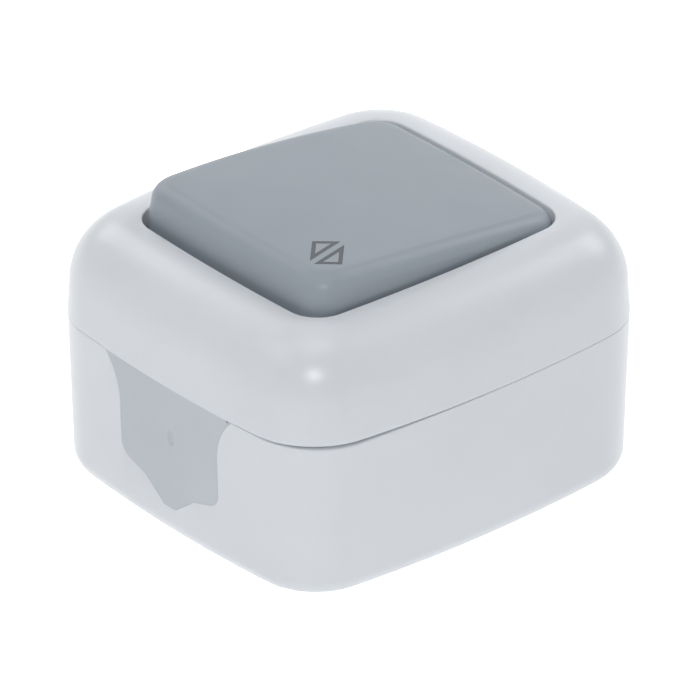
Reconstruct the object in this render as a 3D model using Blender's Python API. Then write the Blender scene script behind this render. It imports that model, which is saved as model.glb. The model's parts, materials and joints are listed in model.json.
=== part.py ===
"""Surface mounted light switch: a splashproof rocker switch in a two-part housing for the face of a wall.

The back box is screwed to the wall and takes the cable through a soft seal in either end. The
mechanism stands on two pillars in it: an insulating base with three clamps and a seesaw contact,
under a frame whose bearings carry the rocker. The front cover closes all of it with a gasket.

Lengths are in metres, and z points out of the wall. The rocker tips about an axis along x, and the
cable seals are in the ends of the box at -y and +y.
"""

import math

import bmesh
import bpy
from mathutils import Vector

MM = 0.001

# Driving sizes of the housing
HALF_WIDTH = 34.0 * MM
HALF_LENGTH = 37.2 * MM
CORNER_RADIUS = 12.7 * MM
SIDE_RADIUS = 250.0 * MM
SEAM_HEIGHT = 27.4 * MM
SHOULDER_RISE = 5.4 * MM
COVER_RISE = 16.4 * MM
WALL = 2.3 * MM
FLOOR = 2.2 * MM
BOX_DRAFT = 0.8 * MM
COVER_DRAFT = 0.3 * MM
FOOT_ROUND = 3.5 * MM
INNER_ROUND = 2.0 * MM
GAP = 0.3 * MM

# Joint between box and cover
TONGUE_INSET = 1.2 * MM
TONGUE_HEIGHT = 2.0 * MM
GASKET_HEIGHT = 0.8 * MM
INNER_LIP = 1.0 * MM
INNER_LIP_RISE = 0.6 * MM

# Well in the cover that the rocker stands in
WELL_SIDE_INSET = 10.8 * MM
WELL_END_INSET = 10.6 * MM
WELL_CORNER = 5.5 * MM
WELL_SIDE_RADIUS = 350.0 * MM
WELL_EDGE_ROUND = 0.6 * MM
CREST_LAND = 0.2 * MM
CREST_CORNER = 6.4 * MM
LEDGE_RISE = 7.4 * MM
LEDGE_THICKNESS = 1.8 * MM
LEDGE_WIDTH = 4.7 * MM
LEDGE_CORNER = 9.0 * MM
WELL_WALL = 2.0 * MM

# Rocker and its tilt
PIVOT_RISE = 4.2 * MM
TILT = math.radians(6.2)
ROCKER_SIDE_CLEARANCE = 0.6 * MM
ROCKER_END_CLEARANCE = 0.5 * MM
ROCKER_CORNER = 4.9 * MM
ROCKER_INNER_CORNER = 1.2 * MM
ROCKER_RISE = 3.6 * MM
ROCKER_SKIRT = 8.5 * MM
ROCKER_WALL = 1.8 * MM
ROCKER_EDGE_ROUND = 2.8 * MM
ROCKER_SIDE_DRAFT = 0.2 * MM
ROCKER_END_LEAN = 0.8 * MM
ROCKER_CROWN = 0.3 * MM
ROCKER_BOW = 0.8 * MM

# Mechanism frame and its bearings
FRAME_RISE = 1.6 * MM
FRAME_THICKNESS = 1.8 * MM
FRAME_SIDE = 2.8 * MM
FRAME_OVERHANG = 0.9 * MM
FRAME_CORNER = 3.0 * MM
EAR_END = 3.7 * MM
EAR_HALF_WIDTH = 4.4 * MM
EAR_CORNER = 1.5 * MM
MECHANISM_SCREW_INSET = 11.3 * MM
CHEEK_CLEARANCE = 1.8 * MM
CHEEK_THICKNESS = 2.2 * MM
CHEEK_RADIUS = 3.6 * MM
CHEEK_HALF_LENGTH = 13.0 * MM
TRUNNION_RADIUS = 1.7 * MM
BARREL_WINDOW_X = 6.4 * MM
BARREL_WINDOW_Y = 8.0 * MM

# Carrier under the rocker
CARRIER_HALF_LENGTH = 12.4 * MM
CARRIER_CORNER = 2.0 * MM
CARRIER_PLATE_LOW = 3.0 * MM
CARRIER_PLATE_THICKNESS = 1.8 * MM
CARRIER_WING = 0.5 * MM
CARRIER_NOTCH = 4.6 * MM
CARRIER_ARM = 2.2 * MM
CARRIER_ARM_FOOT = 0.5 * MM
CARRIER_ARM_HALF_LENGTH = 3.0 * MM
CARRIER_FIN = 0.8 * MM
BARREL_RADIUS = 4.0 * MM
BARREL_BORE = 2.3 * MM
CLIP_Y = 9.6 * MM
CLIP_HALF_WIDTH = 3.0 * MM
CLIP_THICKNESS = 1.4 * MM
CLIP_HOOK = 0.8 * MM
POST_INSET = 4.6 * MM
POST_Y = 7.2 * MM
POST_SIZE = 2.4 * MM

# Plunger and its spring
PLUNGER_CLEARANCE = 0.15 * MM
PLUNGER_REACH = 4.95 * MM
PLUNGER_TIP_RADIUS = 1.5 * MM
PLUNGER_SHOULDER_DEPTH = 4.0 * MM
SPIGOT_RADIUS = 0.9 * MM
SPIGOT_LENGTH = 2.4 * MM
SPRING_WIRE = 0.45 * MM
SPRING_RADIUS = 1.72 * MM
SPRING_TURNS = 6

# Mechanism base, contacts and clamps
BASE_HEIGHT = 17.5 * MM
BASE_SIDE_CLEARANCE = 3.5 * MM
BASE_HALF_LENGTH = 17.3 * MM
BASE_CORNER = 2.0 * MM
HOOK_INSET = 1.8 * MM
HOOK_WIDTH = 4.0 * MM
HOOK_THICKNESS = 1.3 * MM
HOOK_END_INSET = 0.5 * MM
HOOK_RISE = 1.4 * MM
HOOK_NOSE = 0.7 * MM
HOOK_NOSE_ROOT = 0.4 * MM
CHAMBER_BASE = 4.6 * MM
CHAMBER_HALF_WIDTH = 3.3 * MM
CHAMBER_END = 1.6 * MM
STRIP = 0.8 * MM
STRIP_HALF_WIDTH = 2.4 * MM
FULCRUM_RISE = 4.4 * MM
KNIFE_HALF_LAND = 0.2 * MM
CONTACT_TILT = math.radians(8.0)
CONTACT_END = 1.3 * MM
CONTACT_HALF_WIDTH = 2.4 * MM
CONTACT_THICKNESS = 0.9 * MM
TIP_TO_CLAMP = 3.1 * MM
TIP_RADIUS = 1.5 * MM
TIP_LAND = 0.9 * MM
TIP_HEIGHT = 0.6 * MM
RIVET_RADIUS = 0.8 * MM
CLAMP_END_INSET = 3.8 * MM
SWITCHED_CLAMP_X = -4.0 * MM
COMMON_CLAMP_INSET = 4.8 * MM
CLAMP_HALF_LENGTH = 2.5 * MM
CLAMP_WALL = 0.8 * MM
CLAMP_TOP_WALL = 1.6 * MM
CLAMP_WIRE_SPACE = 2.9 * MM
CLAMP_SCREW_SPACE = 3.1 * MM
WIRE_HOLE_RADIUS = 1.3 * MM

# Screws and what they turn into
SCREW_RADIUS = 1.45 * MM
SCREW_POINT_RADIUS = 0.9 * MM
SCREW_HOLE_RADIUS = 1.75 * MM
SCREW_HEAD_RADIUS = 2.6 * MM
SCREW_HEAD_HEIGHT = 1.5 * MM
CLAMP_SCREW_HEAD_RADIUS = 2.2 * MM
SCREW_SLOT = 0.7 * MM
SCREW_LENGTH = 10.0 * MM
PILLAR_RADIUS = 3.5 * MM
PILLAR_RIB_DROP = 7.0 * MM
COVER_SCREW_INSET = 4.4 * MM
COVER_BOSS_RADIUS = 3.7 * MM
COVER_BOSS_RISE = 2.5 * MM

# Openings in the box
WALL_SLOT_INSET = 14.1 * MM
WALL_SLOT_RADIUS = 2.3 * MM
WALL_SLOT_TRAVEL = 3.5 * MM
WALL_SLOT_RIM = 2.0 * MM
KNOCKOUT_RADIUS = 9.0 * MM
KNOCKOUT_GROOVE = 0.9 * MM
KNOCKOUT_DEPTH = 1.1 * MM

# Cable seal, a shield hanging from the seam
SEAL_SHIFT = 0.4 * MM
SEAL_HALF_WIDTH = 11.75 * MM
SEAL_FLARE = 3.5 * MM
SEAL_FLARE_DROP = 8.0 * MM
SEAL_SIDE_DROP = 14.4 * MM
SEAL_SHOULDER_RADIUS = 2.9 * MM
SEAL_SHOULDER_SWEEP = 75.0
SEAL_NECK_DROP = 18.3 * MM
SEAL_NECK_HALF_WIDTH = 5.8 * MM
SEAL_TIP_RISE = 1.5 * MM
SEAL_TIP_RADIUS = 1.1 * MM
SEAL_TIP_SWEEP = 30.0
SEAL_FLANGE = 1.5 * MM
SEAL_FLANGE_THICKNESS = 1.2 * MM
SEAL_NIPPLE_DROP = 9.0 * MM
SEAL_NIPPLE_RADIUS = 6.0 * MM
SEAL_NIPPLE_TIP_RADIUS = 4.6 * MM
SEAL_NIPPLE_LENGTH = 5.0 * MM
SEAL_SKIN = 1.2 * MM
SEAL_PIP_RADIUS = 0.9 * MM
SEAL_PIP_DEPTH = 0.6 * MM

# Facets
SIDE_STEPS = 4
CORNER_STEPS = 5
ROUND_STEPS = 4
CIRCLE_SIDES = 20
SMALL_CIRCLE_SIDES = 14
PLATE_CORNER_STEPS = 3
WIRE_SIDES = 6
WIRE_STEPS = 12
SMOOTH_ANGLE = 32

# Sizes that follow from the driving ones
SHOULDER_HEIGHT = SEAM_HEIGHT + SHOULDER_RISE
COVER_HEIGHT = SEAM_HEIGHT + COVER_RISE
WELL_HALF_WIDTH = HALF_WIDTH - WELL_SIDE_INSET
WELL_HALF_LENGTH = HALF_LENGTH - WELL_END_INSET
CREST_INSET = min(WELL_SIDE_INSET, WELL_END_INSET) - WELL_EDGE_ROUND - CREST_LAND
LEDGE_HEIGHT = SEAM_HEIGHT + LEDGE_RISE
PIVOT_HEIGHT = LEDGE_HEIGHT + PIVOT_RISE
ROCKER_HALF_WIDTH = WELL_HALF_WIDTH - ROCKER_SIDE_CLEARANCE
ROCKER_HALF_LENGTH = WELL_HALF_LENGTH - ROCKER_END_CLEARANCE
ROCKER_TOP = COVER_HEIGHT + ROCKER_RISE
FRAME_BOTTOM = SEAM_HEIGHT + FRAME_RISE
FRAME_TOP = FRAME_BOTTOM + FRAME_THICKNESS
MECHANISM_SCREW_X = HALF_WIDTH - MECHANISM_SCREW_INSET
EAR_REACH = MECHANISM_SCREW_X + EAR_END
CHEEK_OUTER = WELL_HALF_WIDTH - LEDGE_WIDTH - CHEEK_CLEARANCE
CHEEK_INNER = CHEEK_OUTER - CHEEK_THICKNESS
FRAME_HALF_WIDTH = CHEEK_OUTER + FRAME_SIDE
FRAME_HALF_LENGTH = BASE_HALF_LENGTH + FRAME_OVERHANG
TRUNNION_END = CHEEK_OUTER - GAP
CARRIER_HALF_WIDTH = CHEEK_INNER - GAP
CARRIER_PLATE_TOP = CARRIER_PLATE_LOW + CARRIER_PLATE_THICKNESS
POST_X = CARRIER_HALF_WIDTH - POST_INSET
BASE_HALF_WIDTH = MECHANISM_SCREW_X - PILLAR_RADIUS - BASE_SIDE_CLEARANCE
BASE_TOP = FRAME_BOTTOM - GAP
BASE_BOTTOM = BASE_TOP - BASE_HEIGHT
CHAMBER_FLOOR = BASE_BOTTOM + CHAMBER_BASE
STRIP_BOTTOM = CHAMBER_FLOOR + GAP
STRIP_TOP = STRIP_BOTTOM + STRIP
FULCRUM_HEIGHT = CHAMBER_FLOOR + FULCRUM_RISE
CLAMP_ROW_Y = BASE_HALF_LENGTH - CLAMP_END_INSET
COMMON_CLAMP_X = BASE_HALF_WIDTH - COMMON_CLAMP_INSET
TIP_REACH = CLAMP_ROW_Y - CLAMP_HALF_LENGTH - TIP_TO_CLAMP
CONTACT_HALF_LENGTH = TIP_REACH + CONTACT_END
CHAMBER_HALF_LENGTH = CONTACT_HALF_LENGTH + CHAMBER_END
CLAMP_HALF_WIDTH = STRIP_HALF_WIDTH + GAP + CLAMP_WALL
CLAMP_BOTTOM = STRIP_BOTTOM - CLAMP_WIRE_SPACE - CLAMP_WALL
CLAMP_TOP = STRIP_TOP + CLAMP_SCREW_SPACE + CLAMP_TOP_WALL
PLUNGER_TIP_DEPTH = PIVOT_HEIGHT - FULCRUM_HEIGHT - GAP - CONTACT_THICKNESS - PLUNGER_CLEARANCE
BARREL_DEPTH = PLUNGER_TIP_DEPTH - PLUNGER_REACH
COVER_SCREW_X = WELL_HALF_WIDTH - COVER_SCREW_INSET
COVER_SCREW_Y = WELL_HALF_LENGTH - COVER_SCREW_INSET
COVER_BOSS_LOW = SEAM_HEIGHT + COVER_BOSS_RISE
WALL_SLOT_X = HALF_WIDTH - WALL_SLOT_INSET
WALL_SLOT_Y = HALF_LENGTH - WALL_SLOT_INSET
SEAL_FOOT = FLOOR + INNER_ROUND
SEAL_TIP_HEIGHT = SEAL_FOOT + SEAL_TIP_RISE


def clear_scene():
    for obj in list(bpy.data.objects):
        bpy.data.objects.remove(obj, do_unlink=True)


def material(name, color, roughness, metallic=0.0):
    """A Principled material in the colour of the real piece."""
    made = bpy.data.materials.new(name)
    made.use_nodes = True
    shader = made.node_tree.nodes["Principled BSDF"]
    shader.inputs["Base Color"].default_value = (*color, 1.0)
    shader.inputs["Roughness"].default_value = roughness
    shader.inputs["Metallic"].default_value = metallic
    made.diffuse_color = (*color, 1.0)
    return made


def add_solid(name, points, faces):
    """A closed mesh object whose faces point out."""
    mesh = bpy.data.meshes.new(name)
    build = bmesh.new()
    corners = [build.verts.new(point) for point in points]
    for face in faces:
        build.faces.new([corners[i] for i in face])
    bmesh.ops.recalc_face_normals(build, faces=build.faces)
    build.to_mesh(mesh)
    build.free()
    obj = bpy.data.objects.new(name, mesh)
    bpy.context.collection.objects.link(obj)
    return obj


def loft(name, rings, endless=False):
    """Skin between rings of equally many points: closed by caps, or endless like a bent tube."""
    count = len(rings[0])
    points = [point for ring in rings for point in ring]
    pairs = list(zip(range(len(rings) - 1), range(1, len(rings))))
    if endless:
        pairs.append((len(rings) - 1, 0))
    faces = []
    for low, high in pairs:
        for i in range(count):
            j = (i + 1) % count
            faces.append((low * count + i, low * count + j, high * count + j, high * count + i))
    if not endless:
        faces.append(tuple(range(count)))
        faces.append(tuple(range(len(points) - count, len(points))))
    return add_solid(name, points, faces)


def prism(name, outline, low, high, axis="Z"):
    """An outline of (u, v) points carried along an axis from low to high."""
    place = {
        "X": lambda u, v, w: (w, u, v),
        "Y": lambda u, v, w: (u, w, v),
        "Z": lambda u, v, w: (u, v, w),
    }[axis]
    return loft(name, [[place(u, v, w) for u, v in outline] for w in (low, high)])


def block(name, x_range, y_range, z_range):
    (x0, x1), (y0, y1) = sorted(x_range), sorted(y_range)
    return prism(name, [(x0, y0), (x1, y0), (x1, y1), (x0, y1)], *z_range)


def arc(center, radius, start, end, steps):
    """Points on an arc about (u, v), with angles in degrees."""
    angles = [math.radians(start + (end - start) * i / steps) for i in range(steps + 1)]
    return [(center[0] + radius * math.cos(a), center[1] + radius * math.sin(a)) for a in angles]


def circle(center, radius, sides=CIRCLE_SIDES):
    return arc(center, radius, 0, 360 - 360 / sides, sides - 1)


def cylinder(name, center, radius, low, high, axis="Z", sides=CIRCLE_SIDES):
    return prism(name, circle(center, radius, sides), low, high, axis)


def turned(name, profile, center=(0.0, 0.0), sides=CIRCLE_SIDES):
    """A solid of revolution about z: the profile's (radius, height) points run from one end to the other."""
    rings = [[(u, v, height) for u, v in circle(center, radius, sides)] for radius, height in profile]
    return loft(name, rings)


def rounded_rectangle(half_u, half_v, radius, steps=PLATE_CORNER_STEPS):
    """Outline of a flat-sided plate with round corners."""
    u, v = half_u - radius, half_v - radius
    return (
        arc((u, v), radius, 0, 90, steps)
        + arc((-u, v), radius, 90, 180, steps)
        + arc((-u, -v), radius, 180, 270, steps)
        + arc((u, -v), radius, 270, 360, steps)
    )


def boolean(obj, others, operation):
    """Cuts, joins or intersects at once, and removes the shapes that were used."""
    for other in others:
        step = obj.modifiers.new(operation.title(), "BOOLEAN")
        step.operation = operation
        step.object = other
        step.solver = "EXACT"
        other.hide_render = True
        other.display_type = "WIRE"
    graph = bpy.context.evaluated_depsgraph_get()
    result = bpy.data.meshes.new_from_object(obj.evaluated_get(graph))
    obj.modifiers.clear()
    old = obj.data
    obj.data = result
    bpy.data.meshes.remove(old)
    for other in others:
        bpy.data.objects.remove(other, do_unlink=True)
    return obj


def cut(obj, *others):
    return boolean(obj, others, "DIFFERENCE")


def join(obj, *others):
    return boolean(obj, others, "UNION")


def overlap_of(obj, *others):
    return boolean(obj, others, "INTERSECT")


def finish(obj, look, parent=None):
    """Names the mesh, smooths its round faces, and gives the object its material and parent."""
    obj.data.name = obj.name
    obj.data.materials.clear()
    obj.data.materials.append(look)
    obj.data.shade_smooth()
    obj.data.set_sharp_from_angle(angle=math.radians(SMOOTH_ANGLE))
    if parent:
        obj.parent = parent
    return obj


def bowed_outline(half_u, half_v, corner, side_radius):
    """Points of a rectangle whose four sides are shallow arcs, tangent to its corner arcs."""
    side_u, side_v = side_radius - half_u, side_radius - half_v
    reach = side_radius - corner
    slope = side_v / side_u
    offset = (side_u**2 + side_v**2) / (2 * side_u)
    a, b, c = slope**2 + 1, 2 * offset * slope, offset**2 - reach**2
    corner_v = (-b + math.sqrt(b * b - 4 * a * c)) / (2 * a)
    corner_u = (corner_v * side_v + (side_v**2 - side_u**2) / 2) / side_u
    first = math.degrees(math.atan2(corner_v, corner_u + side_u))
    second = math.degrees(math.atan2(corner_v + side_v, corner_u))
    quarter = (
        arc((-side_u, 0), side_radius, 0, first, SIDE_STEPS // 2)[:-1]
        + arc((corner_u, corner_v), corner, first, second, CORNER_STEPS)[:-1]
        + arc((0, -side_v), side_radius, second, 90, SIDE_STEPS // 2)[:-1]
    )
    mirrored = [(-u, v) for u, v in reversed(quarter[1:])]
    half = quarter + [(0.0, half_v)] + mirrored
    return half + [(-u, -v) for u, v in half]


def housing_ring(inset, height, corner=None):
    """The housing's outline at a height, moved in from the outermost one by the inset."""
    outline = bowed_outline(
        HALF_WIDTH - inset,
        HALF_LENGTH - inset,
        CORNER_RADIUS - inset if corner is None else corner,
        SIDE_RADIUS - inset,
    )
    return [(u, v, height) for u, v in outline]


def well_ring(growth, height, corner=None):
    """The outline of the cover's well, grown outwards from its edge."""
    outline = bowed_outline(
        WELL_HALF_WIDTH + growth,
        WELL_HALF_LENGTH + growth,
        WELL_CORNER + growth if corner is None else corner,
        WELL_SIDE_RADIUS + growth,
    )
    return [(u, v, height) for u, v in outline]


def draft_at(height):
    """How far the box wall leans in at a height."""
    return BOX_DRAFT * max(0.0, 1 - height / SEAM_HEIGHT)


def wall_shell(name, outer, inner, low, high):
    """A piece of the box wall between two insets, with the draft of the box."""
    return loft(
        name,
        [
            housing_ring(outer + draft_at(low), low),
            housing_ring(outer + draft_at(high), high),
            housing_ring(inner + draft_at(high), high),
            housing_ring(inner + draft_at(low), low),
        ],
        endless=True,
    )


def seal_outline(growth, top):
    """The shield outline of a cable seal, as (x, z), grown by a clearance or a flange."""
    flare_radius = (SEAL_FLARE_DROP**2 + SEAL_FLARE**2) / (2 * SEAL_FLARE)
    flare_angle = math.degrees(math.asin(SEAL_FLARE_DROP / flare_radius))
    flare_center = (SEAL_HALF_WIDTH + flare_radius, SEAM_HEIGHT - SEAL_FLARE_DROP)
    shoulder_center = (SEAL_HALF_WIDTH - SEAL_SHOULDER_RADIUS, SEAM_HEIGHT - SEAL_SIDE_DROP)
    neck = (SEAL_NECK_HALF_WIDTH + growth, SEAM_HEIGHT - SEAL_NECK_DROP - growth / 2)
    tip_center = (SEAL_TIP_RADIUS, SEAL_TIP_HEIGHT + SEAL_TIP_RADIUS)

    right = [(SEAL_HALF_WIDTH + SEAL_FLARE + growth, top)]
    right += arc(flare_center, flare_radius - growth, 180 - flare_angle, 180, ROUND_STEPS)
    right += arc(shoulder_center, SEAL_SHOULDER_RADIUS + growth, 0, -SEAL_SHOULDER_SWEEP, ROUND_STEPS)
    right.append(neck)
    right += arc(tip_center, SEAL_TIP_RADIUS + growth, -SEAL_TIP_SWEEP, -90, ROUND_STEPS // 2)
    left = [(-x, z) for x, z in reversed(right)]
    return [(SEAL_SHIFT + x, z) for x, z in right + left]


def obround(center, radius, travel):
    """Outline of a slot that runs along y."""
    x, y = center
    upper = arc((x, y + travel / 2), radius, 0, 180, SMALL_CIRCLE_SIDES // 2)
    lower = arc((x, y - travel / 2), radius, 180, 360, SMALL_CIRCLE_SIDES // 2)
    return upper + lower


def cover_screw_places():
    return ((COVER_SCREW_X, COVER_SCREW_Y), (-COVER_SCREW_X, -COVER_SCREW_Y))


def mechanism_screw_places():
    return ((MECHANISM_SCREW_X, 0.0), (-MECHANISM_SCREW_X, 0.0))


def back_box(look):
    """The moulded box: drafted walls, a rounded foot, a tongue along the rim and pillars inside."""
    rings = []
    for i in range(ROUND_STEPS + 1):
        angle = math.radians(90 * i / ROUND_STEPS)
        height = FOOT_ROUND * (1 - math.cos(angle))
        inset = FOOT_ROUND * (1 - math.sin(angle))
        rings.append(housing_ring(inset + draft_at(height), height))
    rings.append(housing_ring(0.0, SEAM_HEIGHT))
    rings.append(housing_ring(TONGUE_INSET, SEAM_HEIGHT))
    rings.append(housing_ring(TONGUE_INSET, SEAM_HEIGHT + TONGUE_HEIGHT))
    rings.append(housing_ring(WALL, SEAM_HEIGHT + TONGUE_HEIGHT))
    for i in range(ROUND_STEPS):
        angle = math.radians(90 * i / (ROUND_STEPS - 1))
        height = FLOOR + INNER_ROUND * (1 - math.sin(angle))
        inset = WALL + INNER_ROUND * (1 - math.cos(angle))
        rings.append(housing_ring(inset + draft_at(height), height))
    box = loft("back_box", rings)

    root = FLOOR / 2
    cover_pillar_top = COVER_BOSS_LOW - GAP
    mechanism_pillar_top = FRAME_BOTTOM - GAP
    added = []
    holes = []
    for x, y in cover_screw_places():
        added.append(cylinder("pillar", (x, y), PILLAR_RADIUS, root, cover_pillar_top))
        holes.append(
            cylinder(
                "pillar_hole",
                (x, y),
                SCREW_HOLE_RADIUS,
                cover_pillar_top - SCREW_LENGTH,
                cover_pillar_top + GAP,
                sides=SMALL_CIRCLE_SIDES,
            )
        )
    for x, y in mechanism_screw_places():
        added.append(cylinder("pillar", (x, y), PILLAR_RADIUS, root, mechanism_pillar_top))
        wall_side = math.copysign(HALF_WIDTH - WALL / 2 - BOX_DRAFT, x)
        rib_range = (-WALL / 3, WALL / 3)
        rib_top = mechanism_pillar_top - PILLAR_RIB_DROP
        added.append(block("rib", (x, wall_side), rib_range, (root, rib_top)))
        holes.append(
            cylinder(
                "pillar_hole",
                (x, y),
                SCREW_HOLE_RADIUS,
                mechanism_pillar_top - SCREW_LENGTH,
                mechanism_pillar_top + GAP,
                sides=SMALL_CIRCLE_SIDES,
            )
        )
    for side in (1, -1):
        place = (side * WALL_SLOT_X, -side * WALL_SLOT_Y)
        rim = obround(place, WALL_SLOT_RADIUS + WALL_SLOT_RIM, WALL_SLOT_TRAVEL)
        added.append(prism("slot_rim", rim, root, FLOOR + WALL_SLOT_RIM / 2))
        slot = obround(place, WALL_SLOT_RADIUS, WALL_SLOT_TRAVEL)
        holes.append(prism("wall_slot", slot, -GAP, FLOOR + WALL_SLOT_RIM))
        depth = side * (HALF_LENGTH + WALL)
        inner = side * (HALF_LENGTH - 2 * WALL - CORNER_RADIUS / 2)
        shield = seal_outline(0.0, SEAM_HEIGHT + 2 * TONGUE_HEIGHT)
        holes.append(prism("seal_cutter", shield, inner, depth, "Y"))
    join(box, *added)
    groove = cylinder("groove", (0, 0), KNOCKOUT_RADIUS, -GAP, KNOCKOUT_DEPTH)
    core = cylinder("core", (0, 0), KNOCKOUT_RADIUS - KNOCKOUT_GROOVE, -2 * GAP, 2 * KNOCKOUT_DEPTH)
    cut(box, *holes, cut(groove, core))
    return finish(box, look)


def front_cover(look):
    """One moulded skin: outer lip, shoulder, well, ledge, and the groove that the tongue goes up into."""
    seam = SEAM_HEIGHT + GAP
    lip = TONGUE_INSET - GAP
    groove_top = SEAM_HEIGHT + TONGUE_HEIGHT + GASKET_HEIGHT + 2 * GAP
    groove_inner = WALL + GAP
    lip_inner = groove_inner + INNER_LIP
    lip_bottom = seam + INNER_LIP_RISE
    ledge_bottom = LEDGE_HEIGHT - LEDGE_THICKNESS
    shoulder_rise = COVER_HEIGHT - SHOULDER_HEIGHT

    rings = [housing_ring(0.0, seam), housing_ring(COVER_DRAFT, SHOULDER_HEIGHT)]
    steps = 2 * ROUND_STEPS
    corner_loss = CORNER_RADIUS - COVER_DRAFT - CREST_CORNER
    for i in range(1, steps + 1):
        angle = math.radians(90 * i / steps)
        inset = COVER_DRAFT + (CREST_INSET - COVER_DRAFT) * (1 - math.cos(angle))
        height = SHOULDER_HEIGHT + shoulder_rise * math.sin(angle)
        corner = CORNER_RADIUS - COVER_DRAFT - corner_loss * (1 - math.cos(angle))
        rings.append(housing_ring(inset, height, corner))
    rings.append(well_ring(WELL_EDGE_ROUND, COVER_HEIGHT - WELL_EDGE_ROUND / 6))
    rings.append(well_ring(WELL_EDGE_ROUND / 4, COVER_HEIGHT - WELL_EDGE_ROUND / 3))
    rings.append(well_ring(0.0, COVER_HEIGHT - WELL_EDGE_ROUND))
    rings.append(well_ring(0.0, LEDGE_HEIGHT))
    rings.append(well_ring(-LEDGE_WIDTH, LEDGE_HEIGHT, LEDGE_CORNER))
    rings.append(well_ring(-LEDGE_WIDTH, ledge_bottom, LEDGE_CORNER))
    rings.append(well_ring(WELL_WALL, ledge_bottom))
    under_crest = COVER_HEIGHT - WELL_WALL
    rings.append(well_ring(WELL_WALL, under_crest - WELL_EDGE_ROUND))
    for i in range(ROUND_STEPS):
        angle = math.radians(90 * (1 - i / (ROUND_STEPS - 1)))
        reach = WELL_SIDE_INSET - WELL_WALL * 2 - WALL
        inset = WALL + COVER_DRAFT + reach * (1 - math.cos(angle))
        height = SHOULDER_HEIGHT + (shoulder_rise - WELL_WALL) * math.sin(angle)
        rings.append(housing_ring(inset, height, CORNER_RADIUS - inset))
    rings.append(housing_ring(lip_inner, groove_top + INNER_LIP))
    rings.append(housing_ring(lip_inner, lip_bottom))
    rings.append(housing_ring(groove_inner, lip_bottom))
    rings.append(housing_ring(groove_inner, groove_top))
    rings.append(housing_ring(lip, groove_top))
    rings.append(housing_ring(lip, seam))
    cover = loft("front_cover", rings, endless=True)

    bosses = []
    holes = []
    head_seat = LEDGE_HEIGHT - SCREW_HEAD_HEIGHT - 2 * GAP
    for x, y in cover_screw_places():
        boss_top = LEDGE_HEIGHT - LEDGE_THICKNESS / 2
        bosses.append(cylinder("boss", (x, y), COVER_BOSS_RADIUS, COVER_BOSS_LOW, boss_top))
        head_room = SCREW_HEAD_RADIUS + GAP
        holes.append(cylinder("head_room", (x, y), head_room, head_seat, LEDGE_HEIGHT + GAP))
        holes.append(
            cylinder(
                "screw_way",
                (x, y),
                SCREW_HOLE_RADIUS,
                COVER_BOSS_LOW - GAP,
                LEDGE_HEIGHT,
                sides=SMALL_CIRCLE_SIDES,
            )
        )
    join(cover, *bosses)
    cut(cover, *holes)
    return finish(cover, look)


def cover_gasket(look):
    """The soft ring in the cover's groove, on top of the tongue."""
    low = SEAM_HEIGHT + TONGUE_HEIGHT + GAP
    high = low + GASKET_HEIGHT
    rings = [
        housing_ring(TONGUE_INSET, low),
        housing_ring(TONGUE_INSET, high),
        housing_ring(WALL, high),
        housing_ring(WALL, low),
    ]
    return finish(loft("cover_gasket", rings, endless=True), look)


def cable_seal(name, side, look):
    """A soft seal flush with the wall, with a flange behind it and a blind nipple for the cable."""
    inner = WALL + 2 * GAP
    tongue_top = SEAM_HEIGHT + TONGUE_HEIGHT
    flange_top = SEAM_HEIGHT - GAP
    section = [
        (0.0, SEAL_FOOT),
        (0.0, SEAM_HEIGHT),
        (TONGUE_INSET, SEAM_HEIGHT),
        (TONGUE_INSET, tongue_top),
        (WALL, tongue_top),
        (WALL, flange_top - GAP),
        (inner, flange_top - GAP),
        (inner, SEAL_FOOT),
    ]
    plate = loft(name, [housing_ring(inset + draft_at(z), z) for inset, z in section], endless=True)
    outline = seal_outline(-GAP, tongue_top + WALL)
    y_range = sorted((side * HALF_LENGTH / 2, side * (HALF_LENGTH + WALL)))
    overlap_of(plate, prism("shield", outline, *y_range, "Y"))

    flange_back = WALL + GAP + SEAL_FLANGE_THICKNESS
    flange = wall_shell("flange", WALL + GAP, flange_back, SEAL_FOOT - GAP, flange_top)
    grown = seal_outline(SEAL_FLANGE, tongue_top + WALL)
    overlap_of(flange, prism("grown_shield", grown, *y_range, "Y"))

    center = (SEAL_SHIFT, SEAM_HEIGHT - SEAL_NIPPLE_DROP)
    face = side * (HALF_LENGTH - draft_at(center[1]))
    root = face - side * (flange_back - SEAL_FLANGE_THICKNESS / 2)
    end = face - side * (flange_back + SEAL_NIPPLE_LENGTH)
    nipple = loft(
        "nipple",
        [
            [(u, root, v) for u, v in circle(center, SEAL_NIPPLE_RADIUS)],
            [(u, end, v) for u, v in circle(center, SEAL_NIPPLE_TIP_RADIUS)],
        ],
    )
    mouth = face - side * SEAL_SKIN
    bore = loft(
        "bore",
        [
            [(u, mouth, v) for u, v in circle(center, SEAL_NIPPLE_RADIUS - SEAL_SKIN)],
            [
                (u, end - side * GAP, v)
                for u, v in circle(center, SEAL_NIPPLE_TIP_RADIUS - SEAL_SKIN)
            ],
        ],
    )
    pip = loft(
        "pip",
        [
            [(u, face + side * GAP, v) for u, v in circle(center, SEAL_PIP_RADIUS, SMALL_CIRCLE_SIDES)],
            [
                (u, face - side * SEAL_PIP_DEPTH, v)
                for u, v in circle(center, SEAL_PIP_RADIUS / 3, SMALL_CIRCLE_SIDES)
            ],
        ],
    )
    join(plate, flange, nipple)
    cut(plate, bore, pip)
    return finish(plate, look)


def rocker_ring(side_inset, end_inset, height, corner, bow=0.0):
    """The rocker's outline at a height; the bow lifts its middle over its two ends."""
    outline = bowed_outline(
        ROCKER_HALF_WIDTH - side_inset,
        ROCKER_HALF_LENGTH - end_inset,
        corner,
        WELL_SIDE_RADIUS,
    )
    return [(u, v, height + bow * (1 - (v / ROCKER_HALF_LENGTH) ** 2)) for u, v in outline]


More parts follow.
